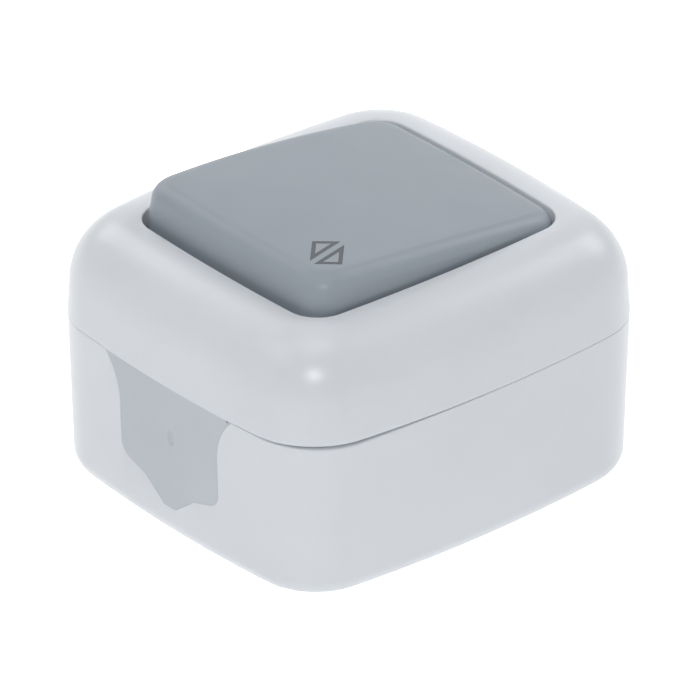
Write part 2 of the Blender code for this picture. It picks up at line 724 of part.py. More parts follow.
def rocker(look, pivot):
    """The rocker cap: a hollow shell with soft upper edges, rest posts and two clip legs."""
    top = ROCKER_TOP - PIVOT_HEIGHT
    edge = ROCKER_EDGE_ROUND
    bottom = top - ROCKER_SKIRT
    under = top - ROCKER_WALL
    rings = [rocker_ring(0.0, 0.0, bottom, ROCKER_CORNER)]
    for i in range(ROUND_STEPS + 1):
        angle = math.radians(90 * i / ROUND_STEPS)
        inset = edge * (1 - math.cos(angle))
        height = top - ROCKER_CROWN - edge * (1 - math.sin(angle))
        side_inset = ROCKER_SIDE_DRAFT + inset
        end_inset = ROCKER_END_LEAN + inset
        corner = ROCKER_CORNER - inset / 2
        rings.append(rocker_ring(side_inset, end_inset, height, corner, ROCKER_BOW))
    middle = ROCKER_HALF_WIDTH / 2
    rings.append(rocker_ring(middle, middle, top, ROCKER_INNER_CORNER, ROCKER_BOW))
    center = ROCKER_HALF_WIDTH - ROCKER_CORNER
    rings.append(rocker_ring(center, center, top, ROCKER_INNER_CORNER, ROCKER_BOW))
    shell = loft("rocker", rings)
    inner_corner = ROCKER_CORNER - ROCKER_WALL
    draft = ROCKER_WALL + ROCKER_SIDE_DRAFT
    lean = ROCKER_WALL + ROCKER_END_LEAN
    hollow = loft(
        "hollow",
        [
            rocker_ring(ROCKER_WALL, ROCKER_WALL, bottom - GAP, inner_corner),
            rocker_ring(draft, lean, under - ROCKER_WALL, inner_corner),
            rocker_ring(draft + ROCKER_WALL, lean + ROCKER_WALL, under, inner_corner),
        ],
    )
    cut(shell, hollow)

    root = under + ROCKER_WALL / 2
    legs = []
    for side_x in (1, -1):
        for side_y in (1, -1):
            x_range = (side_x * (POST_X - POST_SIZE / 2), side_x * (POST_X + POST_SIZE / 2))
            y_range = (side_y * (POST_Y - POST_SIZE / 2), side_y * (POST_Y + POST_SIZE / 2))
            legs.append(block("post", x_range, y_range, (CARRIER_PLATE_TOP + GAP, root)))
    hook_top = CARRIER_PLATE_LOW - GAP
    hook_low = hook_top - CLIP_HOOK
    for side in (1, -1):
        inner = side * CLIP_Y
        outer = side * (CLIP_Y + CLIP_THICKNESS)
        hook = side * (CLIP_Y + CLIP_THICKNESS + CLIP_HOOK)
        outline = [
            (inner, root),
            (inner, hook_low),
            (outer, hook_low),
            (hook, hook_top),
            (outer, hook_top),
            (outer, root),
        ]
        legs.append(prism("clip", outline, -CLIP_HALF_WIDTH, CLIP_HALF_WIDTH, "X"))
    join(shell, *legs)
    return finish(shell, look, pivot)


def rocker_carrier(look, pivot):
    """The seat that the rocker clips to: a plate on two trunnions, with the plunger's barrel below."""
    low, high = CARRIER_PLATE_LOW, CARRIER_PLATE_TOP
    middle = (low + high) / 2
    wing = CHEEK_OUTER + CARRIER_WING
    outline = rounded_rectangle(wing, CARRIER_HALF_LENGTH, CARRIER_CORNER)
    seat = prism("rocker_carrier", outline, low, high)
    added = []
    holes = []
    for side in (1, -1):
        arm_x = (side * (CARRIER_HALF_WIDTH - CARRIER_ARM), side * CARRIER_HALF_WIDTH)
        arm_y = (-CARRIER_ARM_HALF_LENGTH, CARRIER_ARM_HALF_LENGTH)
        arm_low = -TRUNNION_RADIUS - CARRIER_ARM_FOOT
        added.append(block("arm", arm_x, arm_y, (arm_low, middle)))
        arm_middle = side * (CARRIER_HALF_WIDTH - CARRIER_ARM / 2)
        ends = sorted((arm_middle, side * TRUNNION_END))
        added.append(cylinder("trunnion", (0, 0), TRUNNION_RADIUS, *ends, "X", SMALL_CIRCLE_SIDES))
        fin_x = (side * (BARREL_BORE + BARREL_RADIUS) / 2, arm_middle)
        added.append(block("fin", fin_x, (-CARRIER_FIN, CARRIER_FIN), (0.0, middle)))
        notch_x = (side * CARRIER_HALF_WIDTH, side * (wing + GAP))
        holes.append(block("notch", notch_x, (-CARRIER_NOTCH, CARRIER_NOTCH), (low - GAP, high + GAP)))
        slot_x = (-CLIP_HALF_WIDTH - GAP, CLIP_HALF_WIDTH + GAP)
        slot_y = (side * (CLIP_Y - GAP), side * (CLIP_Y + CLIP_THICKNESS + GAP))
        holes.append(block("clip_slot", slot_x, slot_y, (low - GAP, high + GAP)))
    added.append(cylinder("barrel", (0, 0), BARREL_RADIUS, -BARREL_DEPTH, middle))
    bore_range = (-BARREL_DEPTH - GAP, low - GAP)
    bore = cylinder("bore", (0, 0), BARREL_BORE, *bore_range, sides=SMALL_CIRCLE_SIDES)
    trunnions = [piece for piece in added if piece.name.startswith("trunnion")]
    join(seat, *[piece for piece in added if piece not in trunnions])
    cut(seat, bore, *holes)
    join(seat, *trunnions)
    return finish(seat, look, pivot)


def stop_height(y):
    """Height of the cheek's edge at a distance along it: just under the plate when that end is down."""
    plate = CARRIER_PLATE_LOW / math.cos(TILT) - abs(y) * math.tan(TILT)
    return PIVOT_HEIGHT + plate - GAP


def cheek_outline(foot):
    """A bearing wall seen from the side: a round boss on the axis between two sloping stops."""
    meeting = stop_height(CARRIER_NOTCH)
    start = math.degrees(math.asin((meeting - PIVOT_HEIGHT) / CHEEK_RADIUS))
    boss = arc((0, PIVOT_HEIGHT), CHEEK_RADIUS, start, 180 - start, 2 * ROUND_STEPS)
    end_height = stop_height(CHEEK_HALF_LENGTH)
    return [
        (CHEEK_HALF_LENGTH, foot),
        (CHEEK_HALF_LENGTH, end_height),
        (CARRIER_NOTCH, meeting),
        *boss,
        (-CARRIER_NOTCH, meeting),
        (-CHEEK_HALF_LENGTH, end_height),
        (-CHEEK_HALF_LENGTH, foot),
    ]


def mechanism_frame(look):
    """The plate that holds the mechanism in the box, with two bearing walls that also stop the carrier."""
    low, high = FRAME_BOTTOM, FRAME_TOP
    middle = (low + high) / 2
    through = (low - GAP, high + GAP)
    outline = rounded_rectangle(FRAME_HALF_WIDTH, FRAME_HALF_LENGTH, FRAME_CORNER)
    frame = prism("mechanism_frame", outline, low, high)
    added = []
    holes = []
    ears = rounded_rectangle(EAR_REACH, EAR_HALF_WIDTH, EAR_CORNER)
    added.append(prism("ears", ears, low, high))
    for side in (1, -1):
        cheek_x = sorted((side * CHEEK_INNER, side * CHEEK_OUTER))
        added.append(prism("cheek", cheek_outline(middle), *cheek_x, "X"))
        bearing_x = (cheek_x[0] - GAP, cheek_x[1] + GAP)
        bearing = TRUNNION_RADIUS + GAP
        holes.append(cylinder("bearing", (0, PIVOT_HEIGHT), bearing, *bearing_x, "X", SMALL_CIRCLE_SIDES))
        holes.append(block("hook_way", *hook_ranges(side, GAP), through))
    for place in mechanism_screw_places():
        holes.append(cylinder("screw_way", place, SCREW_HOLE_RADIUS, *through, sides=SMALL_CIRCLE_SIDES))
    for place in clamp_places().values():
        room = CLAMP_SCREW_HEAD_RADIUS + GAP
        holes.append(cylinder("driver_way", place, room, *through, sides=SMALL_CIRCLE_SIDES))
    for place in cover_screw_places():
        holes.append(cylinder("boss_room", place, COVER_BOSS_RADIUS + GAP, low - GAP, PIVOT_HEIGHT))
    window_x = (-BARREL_WINDOW_X, BARREL_WINDOW_X)
    window_y = (-BARREL_WINDOW_Y, BARREL_WINDOW_Y)
    holes.append(block("window", window_x, window_y, through))
    join(frame, *added)
    cut(frame, *holes)
    return finish(frame, look)


def hook_ranges(side, growth):
    """Where a clip of the base passes through the frame, as x and y ranges."""
    x_high = side * (BASE_HALF_WIDTH - HOOK_INSET)
    x_low = x_high - side * HOOK_WIDTH
    y_high = side * (BASE_HALF_LENGTH - HOOK_END_INSET)
    y_low = y_high - side * HOOK_THICKNESS
    x, y = sorted((x_low, x_high)), sorted((y_low, y_high))
    return (x[0] - growth, x[1] + growth), (y[0] - growth, y[1] + growth)


def clamp_places():
    return {
        "common": (COMMON_CLAMP_X, -CLAMP_ROW_Y),
        "lower": (SWITCHED_CLAMP_X, -CLAMP_ROW_Y),
        "upper": (SWITCHED_CLAMP_X, CLAMP_ROW_Y),
    }


def common_strip(growth=0.0):
    """Outline of the common terminal, from under the seesaw round to its clamp."""
    half = STRIP_HALF_WIDTH + growth
    end = CLAMP_ROW_Y + CLAMP_HALF_LENGTH + growth
    outer = COMMON_CLAMP_X + half
    return [
        (-half, -half),
        (COMMON_CLAMP_X - half, -half),
        (COMMON_CLAMP_X - half, -end),
        (outer, -end),
        (outer, half),
        (-half, half),
    ]


def switched_strip(side, growth=0.0):
    """Outline of a switched terminal, from under one end of the seesaw to its clamp."""
    half = STRIP_HALF_WIDTH + growth
    near = TIP_REACH - TIP_RADIUS - GAP - growth
    turn = TIP_REACH + TIP_RADIUS + 2 * GAP + growth
    end = CLAMP_ROW_Y + CLAMP_HALF_LENGTH + growth
    left = SWITCHED_CLAMP_X - half
    inner = CONTACT_HALF_WIDTH - GAP + growth
    points = [
        (inner, near),
        (-inner, near),
        (left, near + STRIP_HALF_WIDTH),
        (left, end),
        (SWITCHED_CLAMP_X + half, end),
        (SWITCHED_CLAMP_X + half, turn),
        (inner, turn),
    ]
    return [(x, side * y) for x, y in points]


def mechanism_base(look):
    """The moulded block: a chamber for the seesaw, channels for the strips and pockets for the clamps."""
    open_top = BASE_TOP + GAP
    outline = rounded_rectangle(BASE_HALF_WIDTH, BASE_HALF_LENGTH, BASE_CORNER)
    base = prism("mechanism_base", outline, BASE_BOTTOM, BASE_TOP)
    hooks = []
    for side in (1, -1):
        x_range, y_range = hook_ranges(side, 0.0)
        hooks.append(block("hook", x_range, y_range, (BASE_TOP - HOOK_RISE, FRAME_TOP + HOOK_RISE)))
        outer = max(y_range, key=abs)
        root = outer - side * HOOK_NOSE_ROOT
        nose_low = FRAME_TOP + GAP
        nose_high = FRAME_TOP + HOOK_RISE
        nose = [(root, nose_low), (outer + side * HOOK_NOSE, nose_low), (root, nose_high)]
        hooks.append(prism("nose", nose, *x_range, "X"))
    join(base, *hooks)

    chamber_x = (-CHAMBER_HALF_WIDTH, CHAMBER_HALF_WIDTH)
    chamber_y = (-CHAMBER_HALF_LENGTH, CHAMBER_HALF_LENGTH)
    holes = [block("chamber", chamber_x, chamber_y, (CHAMBER_FLOOR, open_top))]
    barrel_x = BARREL_RADIUS + 2 * GAP
    barrel_y = barrel_x + BARREL_DEPTH * math.sin(TILT)
    barrel_low = PIVOT_HEIGHT - BARREL_DEPTH - BARREL_RADIUS * math.sin(TILT) - 2 * GAP
    room = ((-barrel_x, barrel_x), (-barrel_y, barrel_y), (barrel_low, open_top))
    holes.append(block("barrel_room", *room))
    channel_top = STRIP_TOP + CLAMP_SCREW_SPACE
    holes.append(prism("common_channel", common_strip(GAP), CHAMBER_FLOOR, channel_top))
    for side in (1, -1):
        holes.append(prism("channel", switched_strip(side, GAP), CHAMBER_FLOOR, channel_top + GAP))
    wire_height = STRIP_BOTTOM - CLAMP_WIRE_SPACE / 2
    wire_way = WIRE_HOLE_RADIUS + GAP
    for x, y in clamp_places().values():
        half_x = CLAMP_HALF_WIDTH + GAP
        half_y = CLAMP_HALF_LENGTH + GAP
        x_range, y_range = (x - half_x, x + half_x), (y - half_y, y + half_y)
        holes.append(block("pocket", x_range, y_range, (CLAMP_BOTTOM - GAP, open_top)))
        wire_y = sorted((y, math.copysign(BASE_HALF_LENGTH + GAP, y)))
        holes.append(cylinder("wire_way", (x, wire_height), wire_way, *wire_y, "Y", SMALL_CIRCLE_SIDES))
    for place in cover_screw_places():
        room = PILLAR_RADIUS + GAP
        holes.append(cylinder("pillar_room", place, room, BASE_BOTTOM - GAP, open_top))
    cut(base, *holes)
    return finish(base, look)


def plunger(look, pivot):
    """The turned pin that presses on the seesaw, with a round nose and a spigot for the spring."""
    nose = PLUNGER_TIP_RADIUS
    body = BARREL_BORE - GAP
    tip = -PLUNGER_TIP_DEPTH
    steps = ROUND_STEPS
    profile = []
    for i in range(1, steps + 1):
        angle = math.radians(90 * i / steps)
        profile.append((nose * math.sin(angle), tip + nose * (1 - math.cos(angle))))
    profile.append((body, tip + nose + body - nose))
    profile.append((body, -PLUNGER_SHOULDER_DEPTH))
    profile.append((SPIGOT_RADIUS, -PLUNGER_SHOULDER_DEPTH))
    profile.append((SPIGOT_RADIUS, -PLUNGER_SHOULDER_DEPTH + SPIGOT_LENGTH))
    return finish(turned("plunger", profile, sides=SMALL_CIRCLE_SIDES), look, pivot)


def plunger_spring(look, pivot):
    """A coil spring between the plunger's shoulder and the end of its bore."""
    low = -PLUNGER_SHOULDER_DEPTH + GAP + SPRING_WIRE / 2
    high = CARRIER_PLATE_LOW - 2 * GAP - SPRING_WIRE / 2
    steps = WIRE_STEPS * SPRING_TURNS
    rings = []
    for i in range(steps + 1):
        share = i / steps
        turn = 2 * math.pi * SPRING_TURNS * share
        out = Vector((math.cos(turn), math.sin(turn), 0))
        up = Vector((0, 0, 1))
        center = out * SPRING_RADIUS + up * (low + (high - low) * share)
        ring = []
        for k in range(WIRE_SIDES):
            angle = 2 * math.pi * k / WIRE_SIDES
            spoke = out * math.cos(angle) + up * math.sin(angle)
            ring.append(tuple(center + spoke * SPRING_WIRE / 2))
        rings.append(ring)
    return finish(loft("plunger_spring", rings), look, pivot)


def moving_contact(look, pivot):
    """The seesaw: a brass bar notched underneath, which rocks on the knife edge of the common terminal."""
    low = GAP
    high = GAP + CONTACT_THICKNESS
    end = CONTACT_HALF_LENGTH
    notch = CONTACT_THICKNESS / 3
    outline = [
        (-end, low),
        (-notch, low),
        (0.0, low + notch),
        (notch, low),
        (end, low),
        (end, high),
        (-end, high),
    ]
    bar = prism("moving_contact", outline, -CONTACT_HALF_WIDTH, CONTACT_HALF_WIDTH, "X")
    holes = []
    for side in (1, -1):
        center = (0.0, side * TIP_REACH)
        radius = RIVET_RADIUS + GAP
        holes.append(cylinder("rivet_hole", center, radius, 0.0, 2 * high, sides=SMALL_CIRCLE_SIDES))
    cut(bar, *holes)
    return finish(bar, look, pivot)


def moving_tip(name, side, look, pivot):
    """A silver rivet under one end of the seesaw."""
    profile = [
        (TIP_LAND, -TIP_HEIGHT),
        (TIP_RADIUS, -TIP_HEIGHT / 2),
        (TIP_RADIUS, 0.0),
        (RIVET_RADIUS, 0.0),
        (RIVET_RADIUS, GAP + CONTACT_THICKNESS + GAP),
    ]
    tip = turned(name, profile, (0.0, side * TIP_REACH), SMALL_CIRCLE_SIDES)
    return finish(tip, look, pivot)


def fixed_tip_top():
    """Highest point that a fixed tip may reach under the seesaw's tip when that end is down."""
    reach = TIP_REACH + TIP_RADIUS
    return FULCRUM_HEIGHT - reach * math.sin(CONTACT_TILT) - TIP_HEIGHT * math.cos(CONTACT_TILT) - GAP


def fixed_tip(name, side, look):
    """A silver rivet in the end of a switched terminal."""
    top = fixed_tip_top()
    seat = STRIP_TOP + GAP
    profile = [
        (RIVET_RADIUS, STRIP_BOTTOM),
        (RIVET_RADIUS, seat),
        (TIP_RADIUS, seat),
        (TIP_RADIUS, (seat + top) / 2),
        (TIP_LAND, top),
    ]
    return finish(turned(name, profile, (0.0, side * TIP_REACH), SMALL_CIRCLE_SIDES), look)


def common_terminal(look):
    """The brass strip with the knife edge that the seesaw rocks on."""
    strip = prism("common_terminal", common_strip(), STRIP_BOTTOM, STRIP_TOP)
    root = STRIP_BOTTOM + STRIP / 2
    half = STRIP_HALF_WIDTH - 2 * GAP
    outline = [
        (-half, root),
        (half, root),
        (KNIFE_HALF_LAND, FULCRUM_HEIGHT),
        (-KNIFE_HALF_LAND, FULCRUM_HEIGHT),
    ]
    join(strip, prism("knife_edge", outline, -half, half, "X"))
    return finish(strip, look)


def switched_terminal(name, side, look):
    """A brass strip from a fixed tip to its clamp."""
    strip = prism(name, switched_strip(side), STRIP_BOTTOM, STRIP_TOP)
    center = (0.0, side * TIP_REACH)
    hole_range = (STRIP_BOTTOM - GAP, STRIP_TOP + GAP)
    cut(strip, cylinder("rivet_hole", center, RIVET_RADIUS + GAP, *hole_range, sides=SMALL_CIRCLE_SIDES))
    return finish(strip, look)


def clamp(name, place, look):
    """The cage that draws the wire up against the strip."""
    x, y = place
    y_range = (y - CLAMP_HALF_LENGTH, y + CLAMP_HALF_LENGTH)
    cage = block(name, (x - CLAMP_HALF_WIDTH, x + CLAMP_HALF_WIDTH), y_range, (CLAMP_BOTTOM, CLAMP_TOP))
    inside_x = CLAMP_HALF_WIDTH - CLAMP_WALL
    long_y = (y - 2 * CLAMP_HALF_LENGTH, y + 2 * CLAMP_HALF_LENGTH)
    inside_z = (CLAMP_BOTTOM + CLAMP_WALL, CLAMP_TOP - CLAMP_TOP_WALL)
    inside = block("inside", (x - inside_x, x + inside_x), long_y, inside_z)
    thread_z = (CLAMP_TOP - 2 * CLAMP_TOP_WALL, CLAMP_TOP + GAP)
    thread = cylinder("thread", (x, y), SCREW_HOLE_RADIUS, *thread_z, sides=SMALL_CIRCLE_SIDES)
    cut(cage, inside, thread)
    return finish(cage, look)


def screw(name, place, seat, length, head_radius, look):
    """A slotted screw whose head rests just above its seat."""
    low = seat + GAP
    high = low + SCREW_HEAD_HEIGHT
    chamfer = SCREW_HEAD_HEIGHT / 4
    profile = [
        (SCREW_POINT_RADIUS, seat - length),
        (SCREW_RADIUS, seat - length + SCREW_POINT_RADIUS),
        (SCREW_RADIUS, low),
        (head_radius, low),
        (head_radius, high - chamfer),
        (head_radius - chamfer, high),
    ]
    body = turned(name, profile, place, SMALL_CIRCLE_SIDES)
    x, y = place
    slot_x = (x - 2 * head_radius, x + 2 * head_radius)
    slot_y = (y - SCREW_SLOT / 2, y + SCREW_SLOT / 2)
    cut(body, block("slot", slot_x, slot_y, (high - SCREW_HEAD_HEIGHT / 2, high + GAP)))
    return finish(body, look)


def pivot_empty(name, height, angle):
    """An empty on a joint's axis, turned by the angle at which the real piece rests."""
    empty = bpy.data.objects.new(name, None)
    bpy.context.collection.objects.link(empty)
    empty.location = (0.0, 0.0, height)
    empty.rotation_euler = (angle, 0.0, 0.0)
    empty.empty_display_size = 5 * MM
    return empty


def build_switch():
    clear_scene()
    housing_plastic = material("moulded_housing_plastic", (0.62, 0.65, 0.68), 0.35)
    rocker_plastic = material("moulded_rocker_plastic", (0.36, 0.39, 0.43), 0.4)
    seal_rubber = material("cable_seal_elastomer", (0.52, 0.56, 0.6), 0.55)
    gasket_rubber = material("gasket_rubber", (0.05, 0.05, 0.055), 0.7)
    base_plastic = material("mechanism_base_thermoset", (0.75, 0.74, 0.7), 0.5)
    frame_plastic = material("mechanism_frame_plastic", (0.8, 0.8, 0.78), 0.45)
    carrier_plastic = material("carrier_acetal", (0.85, 0.85, 0.83), 0.35)
    brass = material("stamped_brass", (0.75, 0.58, 0.28), 0.3, 1.0)
    silver = material("contact_silver", (0.88, 0.87, 0.84), 0.25, 1.0)
    plated_steel = material("zinc_plated_steel", (0.68, 0.7, 0.72), 0.35, 1.0)

    back_box(housing_plastic)
    front_cover(housing_plastic)
    cover_gasket(gasket_rubber)
    cable_seal("lower_cable_seal", -1, seal_rubber)
    cable_seal("upper_cable_seal", 1, seal_rubber)
    mechanism_frame(frame_plastic)
    mechanism_base(base_plastic)

    rocker_pivot = pivot_empty("rocker_pivot", PIVOT_HEIGHT, -TILT)
    rocker(rocker_plastic, rocker_pivot)
    rocker_carrier(carrier_plastic, rocker_pivot)
    plunger(carrier_plastic, rocker_pivot)
    plunger_spring(plated_steel, rocker_pivot)

    contact_pivot = pivot_empty("contact_pivot", FULCRUM_HEIGHT, CONTACT_TILT)
    moving_contact(brass, contact_pivot)
    moving_tip("moving_tip_lower", -1, silver, contact_pivot)
    moving_tip("moving_tip_upper", 1, silver, contact_pivot)

    common_terminal(brass)
    switched_terminal("lower_terminal", -1, brass)
    switched_terminal("upper_terminal", 1, brass)
    fixed_tip("fixed_tip_lower", -1, silver)
    fixed_tip("fixed_tip_upper", 1, silver)
    clamp_screw_length = CLAMP_TOP_WALL + CLAMP_SCREW_SPACE - GAP
    head = CLAMP_SCREW_HEAD_RADIUS
    for role, place in clamp_places().items():
        clamp(f"{role}_clamp", place, plated_steel)
        screw(f"{role}_clamp_screw", place, CLAMP_TOP, clamp_screw_length, head, plated_steel)
    head = SCREW_HEAD_RADIUS
    for side, place in zip(("right", "left"), mechanism_screw_places()):
        screw(f"mechanism_screw_{side}", place, FRAME_TOP, SCREW_LENGTH, head, plated_steel)
    head_seat = LEDGE_HEIGHT - SCREW_HEAD_HEIGHT - 2 * GAP
    cover_screw_length = head_seat - COVER_BOSS_LOW + SCREW_LENGTH - GAP
    for side, place in zip(("upper", "lower"), cover_screw_places()):
        screw(f"cover_screw_{side}", place, head_seat, cover_screw_length, head, plated_steel)


build_switch()
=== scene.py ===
# %% [markdown]
# # A surface mounted rocker light switch
#
# The switch is the splashproof kind for a cellar or a garage wall. A deep box is screwed to
# the wall, a cover closes it with a soft ring between them, and a wide rocker tips in the
# cover's well. A shield-shaped rubber seal closes the way in for the cable.
#
# This lesson builds the parts that are seen in fine detail over a measured frame, gives each
# one the material that the real part is moulded or stamped from, and lights it like a small
# product shot.

# %% Load the measured frame
import json
import math

import bmesh
import bpy
from mathutils import Matrix, Vector
from mathutils.bvhtree import BVHTree


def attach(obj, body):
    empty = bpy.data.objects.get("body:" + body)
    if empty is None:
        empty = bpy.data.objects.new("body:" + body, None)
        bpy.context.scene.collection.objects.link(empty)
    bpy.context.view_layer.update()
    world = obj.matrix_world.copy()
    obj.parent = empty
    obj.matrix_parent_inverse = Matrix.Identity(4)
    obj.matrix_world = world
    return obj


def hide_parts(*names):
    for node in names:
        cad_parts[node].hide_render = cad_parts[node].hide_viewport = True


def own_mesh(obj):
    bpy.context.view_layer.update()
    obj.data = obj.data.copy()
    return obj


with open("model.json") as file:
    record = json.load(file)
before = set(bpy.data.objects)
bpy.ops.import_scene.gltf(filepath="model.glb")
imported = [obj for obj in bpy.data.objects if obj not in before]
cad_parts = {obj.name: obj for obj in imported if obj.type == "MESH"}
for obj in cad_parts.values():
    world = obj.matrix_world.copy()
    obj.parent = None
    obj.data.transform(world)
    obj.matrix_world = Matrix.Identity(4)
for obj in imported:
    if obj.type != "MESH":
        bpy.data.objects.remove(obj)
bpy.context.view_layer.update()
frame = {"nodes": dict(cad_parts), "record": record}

MM = 0.001
nodes = frame["nodes"]
print("nodes in the frame:", len(nodes))

# %% [markdown]
# ## The sizes
#
# The housing is 68 mm wide and 74.4 mm long. Its sides aren't straight: moulders bow them
# slightly, because a bowed wall doesn't sink in as it cools. The parting seam between box and
# cover runs all round at 27.4 mm, and the cover rises above it in one large soft shoulder.
#
# The sizes below are the measured frame's, so each detailed part falls on its place. The
# edge of the well and the foot of the rocker's ends differ from it, by half a millimetre at
# most, because the moulded parts have a finer round there.

# %% Sizes of the housing
HALF_WIDTH = 34.0 * MM
HALF_LENGTH = 37.2 * MM
CORNER_RADIUS = 12.7 * MM
SIDE_RADIUS = 250.0 * MM
SEAM_HEIGHT = 27.4 * MM
SHOULDER_HEIGHT = 32.8 * MM
COVER_HEIGHT = 43.8 * MM
WALL = 2.3 * MM
FLOOR = 2.2 * MM
BOX_DRAFT = 0.8 * MM
COVER_DRAFT = 0.3 * MM
FOOT_ROUND = 3.5 * MM
INNER_ROUND = 2.0 * MM
CREST_INSET = 9.8 * MM
CREST_CORNER = 6.4 * MM
TONGUE_INSET = 1.2 * MM
TONGUE_HEIGHT = 2.0 * MM
GROOVE_TOP = 30.8 * MM

# %% Sizes of the well and the rocker
WELL_HALF_WIDTH = 22.95 * MM
WELL_HALF_LENGTH = 26.3 * MM
WELL_CORNER = 5.5 * MM
WELL_SIDE_RADIUS = 350.0 * MM
WELL_EDGE_ROUND = 0.35 * MM
WELL_WALL = 2.0 * MM
LEDGE_HEIGHT = 34.8 * MM
LEDGE_THICKNESS = 1.8 * MM
LEDGE_WIDTH = 4.7 * MM
LEDGE_CORNER = 9.0 * MM
PIVOT_HEIGHT = 39.0 * MM
TILT = math.radians(6.2)
ROCKER_HALF_WIDTH = 22.6 * MM
ROCKER_HALF_LENGTH = 26.1 * MM
ROCKER_CORNER = 4.9 * MM
ROCKER_TOP = 8.4 * MM
ROCKER_SKIRT = 8.5 * MM
ROCKER_WALL = 1.8 * MM
ROCKER_EDGE_ROUND = 2.8 * MM
ROCKER_EDGE_SWEEP = 88.4
ROCKER_SIDE_DRAFT = 0.2 * MM
ROCKER_END_LEAN = 0.8 * MM
ROCKER_END_FOOT = 0.5 * MM
ROCKER_CROWN = 0.3 * MM
ROCKER_BOW = 0.8 * MM

# %% [markdown]
# ## Tools for building a moulded skin
#
# A moulded part is a stack of outlines, one above the other, so one tool draws the bowed
# outline and another lays a skin between outlines. The steps are fine enough that no facet
# shows along a silhouette.

# %% Outlines
SIDE_STEPS = 24
CORNER_STEPS = 20
ROUND_STEPS = 8
SLOT_STEPS = 16
NICK_SIDES = 24
HOLE_SIDES = 32
KNOCKOUT_SIDES = 64


def arc(center, radius, start, end, steps):
    """Points on an arc, with angles in degrees."""
    angles = [math.radians(start + (end - start) * i / steps) for i in range(steps + 1)]
    return [(center[0] + radius * math.cos(a), center[1] + radius * math.sin(a)) for a in angles]


def circle(center, radius, sides=48):
    return arc(center, radius, 0, 360 - 360 / sides, sides - 1)


def bowed_outline(half_u, half_v, corner, side_radius):
    """A rectangle whose sides are shallow arcs that run smoothly into its corners."""
    side_u, side_v = side_radius - half_u, side_radius - half_v
    reach = side_radius - corner
    slope = side_v / side_u
    offset = (side_u**2 + side_v**2) / (2 * side_u)
    a, b, c = slope**2 + 1, 2 * offset * slope, offset**2 - reach**2
    corner_v = (-b + math.sqrt(b * b - 4 * a * c)) / (2 * a)
    corner_u = (corner_v * side_v + (side_v**2 - side_u**2) / 2) / side_u
    first = math.degrees(math.atan2(corner_v, corner_u + side_u))
    second = math.degrees(math.atan2(corner_v + side_v, corner_u))
    quarter = (
        arc((-side_u, 0), side_radius, 0, first, SIDE_STEPS)[:-1]
        + arc((corner_u, corner_v), corner, first, second, CORNER_STEPS)[:-1]
        + arc((0, -side_v), side_radius, second, 90, SIDE_STEPS)[:-1]
    )
    mirrored = [(-u, v) for u, v in reversed(quarter[1:])]
    half = quarter + [(0.0, half_v)] + mirrored
    return half + [(-u, -v) for u, v in half]


def housing_ring(inset, height, corner=None):
    """The housing's outline at one height, moved in from the widest one."""
    corner = CORNER_RADIUS - inset if corner is None else corner
    outline = bowed_outline(HALF_WIDTH - inset, HALF_LENGTH - inset, corner, SIDE_RADIUS - inset)
    return [(u, v, height) for u, v in outline]


def well_ring(growth, height, corner=None):
    """The outline of the cover's well, grown outwards from its edge."""
    corner = WELL_CORNER + growth if corner is None else corner
    outline = bowed_outline(
        WELL_HALF_WIDTH + growth, WELL_HALF_LENGTH + growth, corner, WELL_SIDE_RADIUS + growth
    )
    return [(u, v, height) for u, v in outline]


def draft_at(height):
    """How far the box wall leans in, so that it leaves its mould."""
    return BOX_DRAFT * max(0.0, 1 - height / SEAM_HEIGHT)


print("points round one outline:", len(housing_ring(0.0, 0.0)))

# %% Skins and cuts


def add_mesh(name, points, faces):
    """A mesh object with its faces turned outwards."""
    mesh = bpy.data.meshes.new(name)
    build = bmesh.new()
    corners = [build.verts.new(point) for point in points]
    for face in faces:
        build.faces.new([corners[i] for i in face])
    bmesh.ops.recalc_face_normals(build, faces=build.faces)
    build.to_mesh(mesh)
    build.free()
    obj = bpy.data.objects.new(name, mesh)
    bpy.context.collection.objects.link(obj)
    return obj


def loft(name, rings, endless=False):
    """A skin between rings, closed by caps, or endless like a bent tube."""
    count = len(rings[0])
    points = [point for ring in rings for point in ring]
    pairs = list(zip(range(len(rings) - 1), range(1, len(rings))))
    if endless:
        pairs.append((len(rings) - 1, 0))
    faces = []
    for low, high in pairs:
        for i in range(count):
            j = (i + 1) % count
            faces.append((low * count + i, low * count + j, high * count + j, high * count + i))
    if not endless:
        faces.append(tuple(range(count)))
        faces.append(tuple(range(len(points) - count, len(points))))
    return add_mesh(name, points, faces)


def prism(name, outline, low, high, axis="Z"):
    """An outline carried along an axis."""
    place = {
        "X": lambda u, v, w: (w, u, v),
        "Y": lambda u, v, w: (u, w, v),
        "Z": lambda u, v, w: (u, v, w),
    }[axis]
    return loft(name, [[place(u, v, w) for u, v in outline] for w in (low, high)])


def block(name, x_range, y_range, z_range):
    (x0, x1), (y0, y1) = sorted(x_range), sorted(y_range)
    return prism(name, [(x0, y0), (x1, y0), (x1, y1), (x0, y1)], *z_range)


def combine(obj, tools, operation):
    """Cuts with the tools or joins them on, and clears them away."""
    for tool in tools:
        step = obj.modifiers.new(operation.title(), "BOOLEAN")
        step.operation = operation
        step.object = tool
        step.solver = "EXACT"
    graph = bpy.context.evaluated_depsgraph_get()
    result = bpy.data.meshes.new_from_object(obj.evaluated_get(graph))
    obj.modifiers.clear()
    obj.data = result
    for tool in tools:
        bpy.data.objects.remove(tool, do_unlink=True)
    return obj


